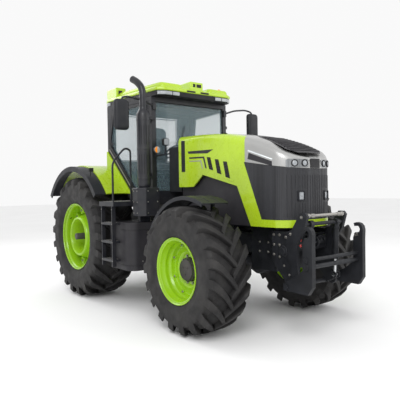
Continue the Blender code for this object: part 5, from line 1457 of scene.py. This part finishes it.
# ---------------------------------------------------------------- side equipment
def make_exhaust():
    x, y, bottom = -0.95, CAB_FRONT_Y - 0.10, 1.8203
    profile = [(0, 0), (0, 0.080), (0.006, 0.086), (0.04, 0.097), (0.05, 0.098)]
    for at in (0.12, 0.55, 0.98):
        profile += [(at - 0.002, 0.098), (at, 0.1005), (at + 0.028, 0.1005), (at + 0.030, 0.098)]
    profile += [(1.07, 0.098), (1.085, 0.096), (1.14, 0.064), (1.155, 0.058), (1.18, 0.057), (1.18, 0)]
    stack = Shape().turned(profile, (x, y, bottom), (0, 0, 1), 64)
    path = [
        (x, y, bottom + 1.15), (x, y, 3.22), (x - 0.01, y + 0.02, 3.30), (x - 0.03, y + 0.10, 3.385),
        (x - 0.05, y + 0.20, 3.44),
    ]
    smooth = rounded(path, 0.07, 8)
    turns = 32
    pipe = []
    for radius in (0.052, 0.046):
        reach = smooth if radius > 0.05 else smooth[len(smooth) // 2 :]
        rows, side = [], None
        for i, point in enumerate(reach):
            ahead = (reach[min(i + 1, len(reach) - 1)] - reach[max(i - 1, 0)]).normalized()
            side = ahead.orthogonal().normalized() if side is None else (
                side - ahead * side.dot(ahead)
            ).normalized()
            other = ahead.cross(side)
            rows.append(
                [
                    point + (
                        side * math.cos(2 * math.pi * k / turns) + other * math.sin(2 * math.pi * k / turns)
                    ) * radius
                    for k in range(turns)
                ]
            )
        pipe.append(rows)
    stack.rows(pipe[0])
    stack.rows(list(reversed(pipe[1])))
    outer_end, inner_end = pipe[0][-1], pipe[1][-1]
    lip = Shape().rows([outer_end, inner_end])
    stack.add(lip.points, lip.faces)
    stack.box((x + 0.06, -0.70), (CAB_FRONT_Y - 0.04, CAB_FRONT_Y - 0.0006), (2.84, 2.89))
    piece("exhaust_pipe", stack, "cab_paint", replaces=("exhaust_stack",), angle=35)
    slots = Shape()
    for k in range(7):
        a = math.radians(200 + 22 * k)
        out, along = Vector((math.cos(a), math.sin(a), 0)), Vector((-math.sin(a), math.cos(a), 0))
        for low in (0.20, 0.63):
            rows = []
            for w in (-0.006, 0.006):
                rows.append(
                    [
                        Vector((x, y, bottom + low)) + out * 0.0975 + along * w,
                        Vector((x, y, bottom + low)) + out * 0.0992 + along * w,
                        Vector((x, y, bottom + low + 0.28)) + out * 0.0992 + along * w,
                        Vector((x, y, bottom + low + 0.28)) + out * 0.0975 + along * w,
                    ]
                )
            slots.loft(rows)
    piece("exhaust_slots", slots, "trim_black")
    case = Shape().prism(
        [
            (-0.762, y - 0.118), (-0.995, y - 0.118), (-1.088, y - 0.035), (-1.088, y + 0.118),
            (-0.762, y + 0.118),
        ],
        "Z", 1.402, 1.8197,
    )
    case.box((-1.02, -0.84), (y + 0.03, y + 0.10), (1.3105, 1.42))
    piece("aftertreatment_case", case, "cab_paint", bevel=0.012, replaces=("aftertreatment_box",), segments=3)
    bolts = Shape()
    for z in (1.45, 1.61, 1.77):
        for px in (-0.80, -0.96):
            bolts.bolt((px, y - 0.118, z), (0, -1, 0), 0.007, 0.006)
        for py in (-0.02, 0.08):
            bolts.bolt((-1.088, y + py, z), (-1, 0, 0), 0.007, 0.006)
    piece("aftertreatment_bolts", bolts, "zinc_bolt")


def side_tank(bottom, top, corner):
    front, rear = CAB_FRONT_Y - 0.10, CAB_FRONT_Y + 0.54
    plan = [(0.621, rear), (0.621, front)] + arc(
        (1.20 - corner, front + corner), corner, -90, 0, 20,
    ) + [(1.20, rear)]
    tank = Shape().prism(plan, "Z", bottom, top)
    return tank.box((0.2706, 0.64), (front + 0.15, front + 0.35), (0.85, 1.05))


def make_side_boxes():
    front = CAB_FRONT_Y - 0.10
    piece(
        "toolbox_body", side_tank(0.60, 1.31, 0.16).mirrored(), "charcoal_panel", bevel=0.010,
        replaces=("toolbox_right",), segments=3,
    )
    piece(
        "fuel_tank_body", side_tank(0.55, 1.42, 0.10), "charcoal_panel", bevel=0.014,
        replaces=("fuel_tank_left",), segments=3,
    )
    cap = Shape().turned(
        [(0, 0), (0, 0.05), (0.012, 0.052), (0.03, 0.048), (0.036, 0.04), (0.036, 0)], (0.95, 0.02, 1.42),
        (0, 0, 1), 32,
    )
    piece("fuel_cap", cap, "trim_black")
    lid = Shape().prism(
        [(-0.64, front + 0.03), (-1.03, front + 0.012)] + [
            (-px, py)
            for px, py in arc((1.04, front + 0.16), 0.148, -85, 0, 16)
        ] + [(-1.188, 0.53), (-0.64, 0.53)],
        "Z", 1.306, 1.3095,
    )
    piece("toolbox_lid", lid, "trim_black")
    seams = Shape()
    edge = [(-0.70, front - 0.0012), (-1.04, front - 0.0012)] + [
        (-px, py)
        for px, py in arc((1.04, front + 0.16), 0.1612, -90, 0, 16)
    ] + [(-1.2012, 0.20)]
    seams.tube([(px, py, 1.20) for px, py in edge], 0.0035, 8)
    seams.tube([(px, py, 0.68) for px, py in edge], 0.0035, 8)
    piece("toolbox_seams", seams, "trim_black")
    latch = Shape().box((-0.92, -0.86), (front - 0.012, front + 0.002), (1.13, 1.18))
    latch.bolt((-0.78, front, 0.74), (0, -1, 0), 0.008, 0.006)
    latch.bolt((-1.00, front, 0.74), (0, -1, 0), 0.008, 0.006)
    piece("toolbox_latch", latch, "zinc_bolt", bevel=0.003)


def make_step_trim():
    for side, sign in SIDES:
        studs = Shape()
        for height in (0.755, 1.030, 1.305):
            for i in range(3):
                for j in range(7):
                    at = (sign * (1.228 + 0.036 * i), 0.262 + 0.044 * j, height)
                    studs.turned([(0, 0), (0, 0.010), (0.004, 0.007), (0.004, 0)], at, (0, 0, 1), 10)
        for i in range(9):
            for j in range(9):
                at = (sign * (0.88 + 0.050 * i), 0.215 + 0.046 * j, 1.62)
                studs.turned([(0, 0), (0, 0.011), (0.004, 0.008), (0.004, 0)], at, (0, 0, 1), 10)
        piece(f"step_studs_{side}", studs, "zinc_bolt")
        bolts = Shape()
        for height in (0.737, 1.012, 1.287, 1.50):
            for y in (0.229, 0.566):
                bolts.bolt((sign * 1.33, y, height), (sign, 0, 0), 0.006, 0.005)
        piece(f"step_bolts_{side}", bolts, "zinc_bolt")


make_exhaust()
make_side_boxes()
make_step_trim()


# ---------------------------------------------------------------- linkages and running gear
def make_front_linkage_trim():
    y = FRONT_AXLE_Y
    bolts = Shape()
    for py, pz in (
        (-0.74, 1.22), (-0.74, 1.10), (-0.74, 0.98), (-0.83, 1.22), (-0.83, 1.10), (-0.83, 0.96),
        (-0.93, 1.20), (-1.00, 1.24), (-1.17, 1.44),
    ):
        bolts.bolt((0.375, y + py, pz), (1, 0, 0), 0.013, 0.012)
    for py, pz in ((-0.90, 0.86), (-0.98, 0.76)):
        bolts.bolt((0.375, y + py, pz), (1, 0, 0), 0.010, 0.009)
    piece("hitch_bolts", bolts.both(), "zinc_bolt")
    boss = Shape().turned(
        [
            (0, 0), (0, 0.070), (0.010, 0.070), (0.014, 0.064), (0.014, 0.050), (0.030, 0.046),
            (0.034, 0.040), (0.034, 0),
        ],
        (0.375, y - 0.89, 1.03), (1, 0, 0), 40,
    )
    boss.turned(
        [(0, 0), (0, 0.045), (0.016, 0.045), (0.020, 0.038), (0.020, 0)], (0.375, y - 1.04, 0.64), (1, 0, 0),
        32,
    )
    piece("hitch_bosses", boss.both(), "black_iron")
    link_y, link_z = y - 1.215, 1.455
    link = Shape().tube([(-0.30, link_y, link_z), (0.30, link_y, link_z)], 0.019, 20)
    for x in (-0.24, 0.24):
        link.turned([(-0.03, 0), (-0.03, 0.025), (0.03, 0.025), (0.03, 0)], (x, link_y, link_z), (1, 0, 0), 6)
    for sign in (-1, 1):
        ball = [(0.030 * math.cos(math.pi * k / 12), 0.030 * math.sin(math.pi * k / 12)) for k in range(13)]
        link.turned(ball[::-1], (sign * 0.312, link_y, link_z), (1, 0, 0), 24)
    piece("top_link", link, "zinc_bolt")
    jaw = Shape()
    for x in (-0.055, 0.035):
        jaw.prism(
            [
                (y - 0.958, 1.04), (y - 1.05, 1.06), (y - 1.085, 1.10), (y - 1.085, 1.14), (y - 1.05, 1.18),
                (y - 0.958, 1.20),
            ],
            "X", x, x + 0.020,
        )
    jaw.rod((-0.075, y - 1.05, 1.12), (0.075, y - 1.05, 1.12), 0.014)
    piece("hitch_jaw", jaw, "black_iron", bevel=0.003)
    block = Shape().box((0.14, 0.28), (y - 0.995, y - 0.958), (1.09, 1.19))
    for x in (0.175, 0.245):
        block.turned(
            [(0, 0), (0, 0.020), (0.02, 0.020), (0.024, 0.016), (0.024, 0)], (x, y - 0.995, 1.14), (0, -1, 0),
            24,
        )
    block.box((-0.28, -0.14), (y - 0.985, y - 0.958), (1.05, 1.19))
    piece("coupler_block", block, "black_plastic", bevel=0.005)
    eyes = Shape()
    for x, z in ((-0.24, 1.155), (-0.18, 1.155), (-0.24, 1.085), (-0.18, 1.085)):
        eyes.turned(
            [(0, 0), (0, 0.020), (0.006, 0.020), (0.009, 0.012), (0.009, 0)], (x, y - 0.985, z), (0, -1, 0),
            24,
        )
    piece("coupler_caps", eyes, "red_lens")
    pins = Shape()
    for x in (0.435, 0.505):
        low, high = (x - 0.012, x + 0.0) if x < 0.45 else (x - 0.005, x + 0.007)
        pins.turned(
            [(0, 0), (0, 0.036), (high - low, 0.036), (high - low, 0)], (low, y - 1.04, 0.64), (1, 0, 0), 28,
        )
    for z in (0.90, 0.98):
        pins.turned(
            [(0, 0), (0, 0.040 if z < 0.95 else 0.033), (0.010, 0.036 if z < 0.95 else 0.030), (0.010, 0)],
            (0.50, -2.725, z), (1, 0, 0), 28,
        )
    piece("link_collars", pins.both(), "black_iron", "front_links")
    latch = Shape()
    latch.prism([(-2.700, 1.175), (-2.690, 1.215), (-2.735, 1.222), (-2.750, 1.19)], "X", 0.435, 0.4398)
    piece("claw_latches", latch.both(), "zinc_bolt", "front_links")
    for side, sign in SIDES:
        rings = Shape()
        down = Vector((0, 0.0288, -0.65)).normalized()
        start = Vector((sign * 0.24, y - 1.19, 1.36))
        for at in (0.06, 0.425):
            rings.turned(
                [(0, 0.034), (0, 0.041), (0.018, 0.041), (0.020, 0.034)], start + down * at, down, 32,
                closed=True,
            )
        piece(f"barrel_rings_{side}", rings, "black_iron", f"front_barrel_{side}")


def make_rear_trim():
    y = REAR_AXLE_Y
    shaft = Shape()
    teeth = []
    for k in range(12):
        for r, a in ((0.0175, 0), (0.0175, 9), (0.021, 12), (0.021, 27)):
            teeth.append(math.radians(30 * k + a))
            teeth.append(r)
    outline = [
        (teeth[i + 1] * math.cos(teeth[i]), 0.82 + teeth[i + 1] * math.sin(teeth[i]))
        for i in range(0, len(teeth), 2)
    ]
    shaft.prism(outline, "Y", y + 0.448, y + 0.50)
    piece("pto_spline", shaft, "bright_steel")
    couplers = Shape()
    caps = Shape()
    for i in range(2):
        for k in range(4):
            at = (-0.15 + 0.10 * k, y + 0.351, 1.10 + 0.09 * i)
            couplers.turned(
                [(0, 0), (0, 0.030), (0.03, 0.028), (0.045, 0.024), (0.045, 0)], at, (0, 1, 0), 24,
            )
            caps.turned(
                [(0, 0), (0, 0.026), (0.010, 0.026), (0.013, 0.020), (0.013, 0)],
                (at[0], at[1] + 0.045, at[2]), (0, 1, 0), 24,
            )
    piece("rear_couplers", couplers, "zinc_bolt")
    piece("rear_coupler_caps", caps, "red_lens")
    pin = Shape().turned(
        [(0, 0), (0, 0.024), (0.010, 0.026), (0.016, 0.018), (0.03, 0.010), (0.03, 0)], (0, y + 0.57, 0.51),
        (0, 0, 1), 28,
    )
    piece("drawbar_pin", pin, "zinc_bolt")


def make_chassis_trim():
    y = FRONT_AXLE_Y
    bolts = Shape()
    for side_y in (-0.55, -0.40, 0.0, 0.10):
        for z in (0.98, 1.10):
            bolts.bolt((0.2803, y + side_y, z), (1, 0, 0), 0.012, 0.010)
    piece("frame_bolts", bolts.both(), "zinc_bolt")
    hoses = Shape()
    for k in range(2):
        start = -0.50 - 0.06 * k
        hoses.tube(
            rounded(
                [
                    (0.20, start, 1.62), (0.285 + 0.02 * k, start, 1.62), (0.285 + 0.02 * k, start, 1.40),
                    (0.25, start + 0.02, 1.34),
                ],
                0.06,
            ),
            0.013, 12,
        )
    piece("engine_pipes", hoses.both(), "trim_black")


make_front_linkage_trim()
make_rear_trim()
make_chassis_trim()


# ---------------------------------------------------------------- studio
def make_studio():
    world = bpy.data.worlds.new("studio")
    bpy.context.scene.world = world
    bpy.context.scene.view_settings.view_transform = "Standard"
    world.use_nodes = True
    world.node_tree.nodes["Background"].inputs["Color"].default_value = (1.0, 1.0, 1.0, 1)
    world.node_tree.nodes["Background"].inputs["Strength"].default_value = 0.95
    mesh = bpy.data.meshes.new("floor")
    size = 60.0
    mesh.from_pydata(
        [(-size, -size, 0), (size, -size, 0), (size, size, 0), (-size, size, 0)], [], [(0, 1, 2, 3)],
    )
    floor = bpy.data.objects.new("floor", mesh)
    floor.location = (0, 0, -0.001)
    bpy.context.scene.collection.objects.link(floor)
    m = Nodes("floor", Roughness=0.9)
    m.link(m.ramp(m.noise(0.4, 2.0), [(0.3, (0.88, 0.88, 0.88)), (0.7, (0.91, 0.91, 0.91))]), "Base Color")
    mesh.materials.append(m.material)
    for name, place, aim, size, power in (
        ("key", (-6.5, -7.0, 7.5), (0, 0, 1.4), 5.0, 520.0),
        ("fill", (7.0, -6.0, 5.0), (0, 0, 1.4), 6.0, 140.0),
        ("back", (-3.0, 8.0, 7.0), (0, 0, 2.0), 5.0, 260.0),
    ):
        data = bpy.data.lights.new(name, "AREA")
        data.energy = power
        data.size = size
        lamp = bpy.data.objects.new(name, data)
        lamp.location = place
        lamp.rotation_euler = (Vector(aim) - Vector(place)).to_track_quat("-Z", "Y").to_euler()
        bpy.context.scene.collection.objects.link(lamp)


CAMERA_PLACE = (-4.5586, -6.1102, 1.7774)
CAMERA_HEADING, CAMERA_RISE, CAMERA_ROLL = -0.65646, 0.022078, -0.016938
CAMERA_LENS, SENSOR_WIDTH = 42.58, 36.0


def make_camera():
    """At the photograph's viewing angle."""
    data = bpy.data.cameras.new("camera")
    data.lens = CAMERA_LENS
    data.sensor_width = SENSOR_WIDTH
    data.clip_end = 200.0
    camera = bpy.data.objects.new("camera", data)
    heading, rise, roll = CAMERA_HEADING, CAMERA_RISE, CAMERA_ROLL
    back = Vector((math.sin(heading) * math.cos(rise), -math.cos(heading) * math.cos(rise), math.sin(rise)))
    right = Vector((0, 0, 1)).cross(back).normalized()
    up = back.cross(right)
    across = right * math.cos(roll) + up * math.sin(roll)
    upright = up * math.cos(roll) - right * math.sin(roll)
    turn = Matrix((across, upright, back)).transposed()
    camera.matrix_world = Matrix.Translation(CAMERA_PLACE) @ turn.to_4x4()
    bpy.context.scene.collection.objects.link(camera)
    bpy.context.scene.camera = camera


make_studio()
make_camera()
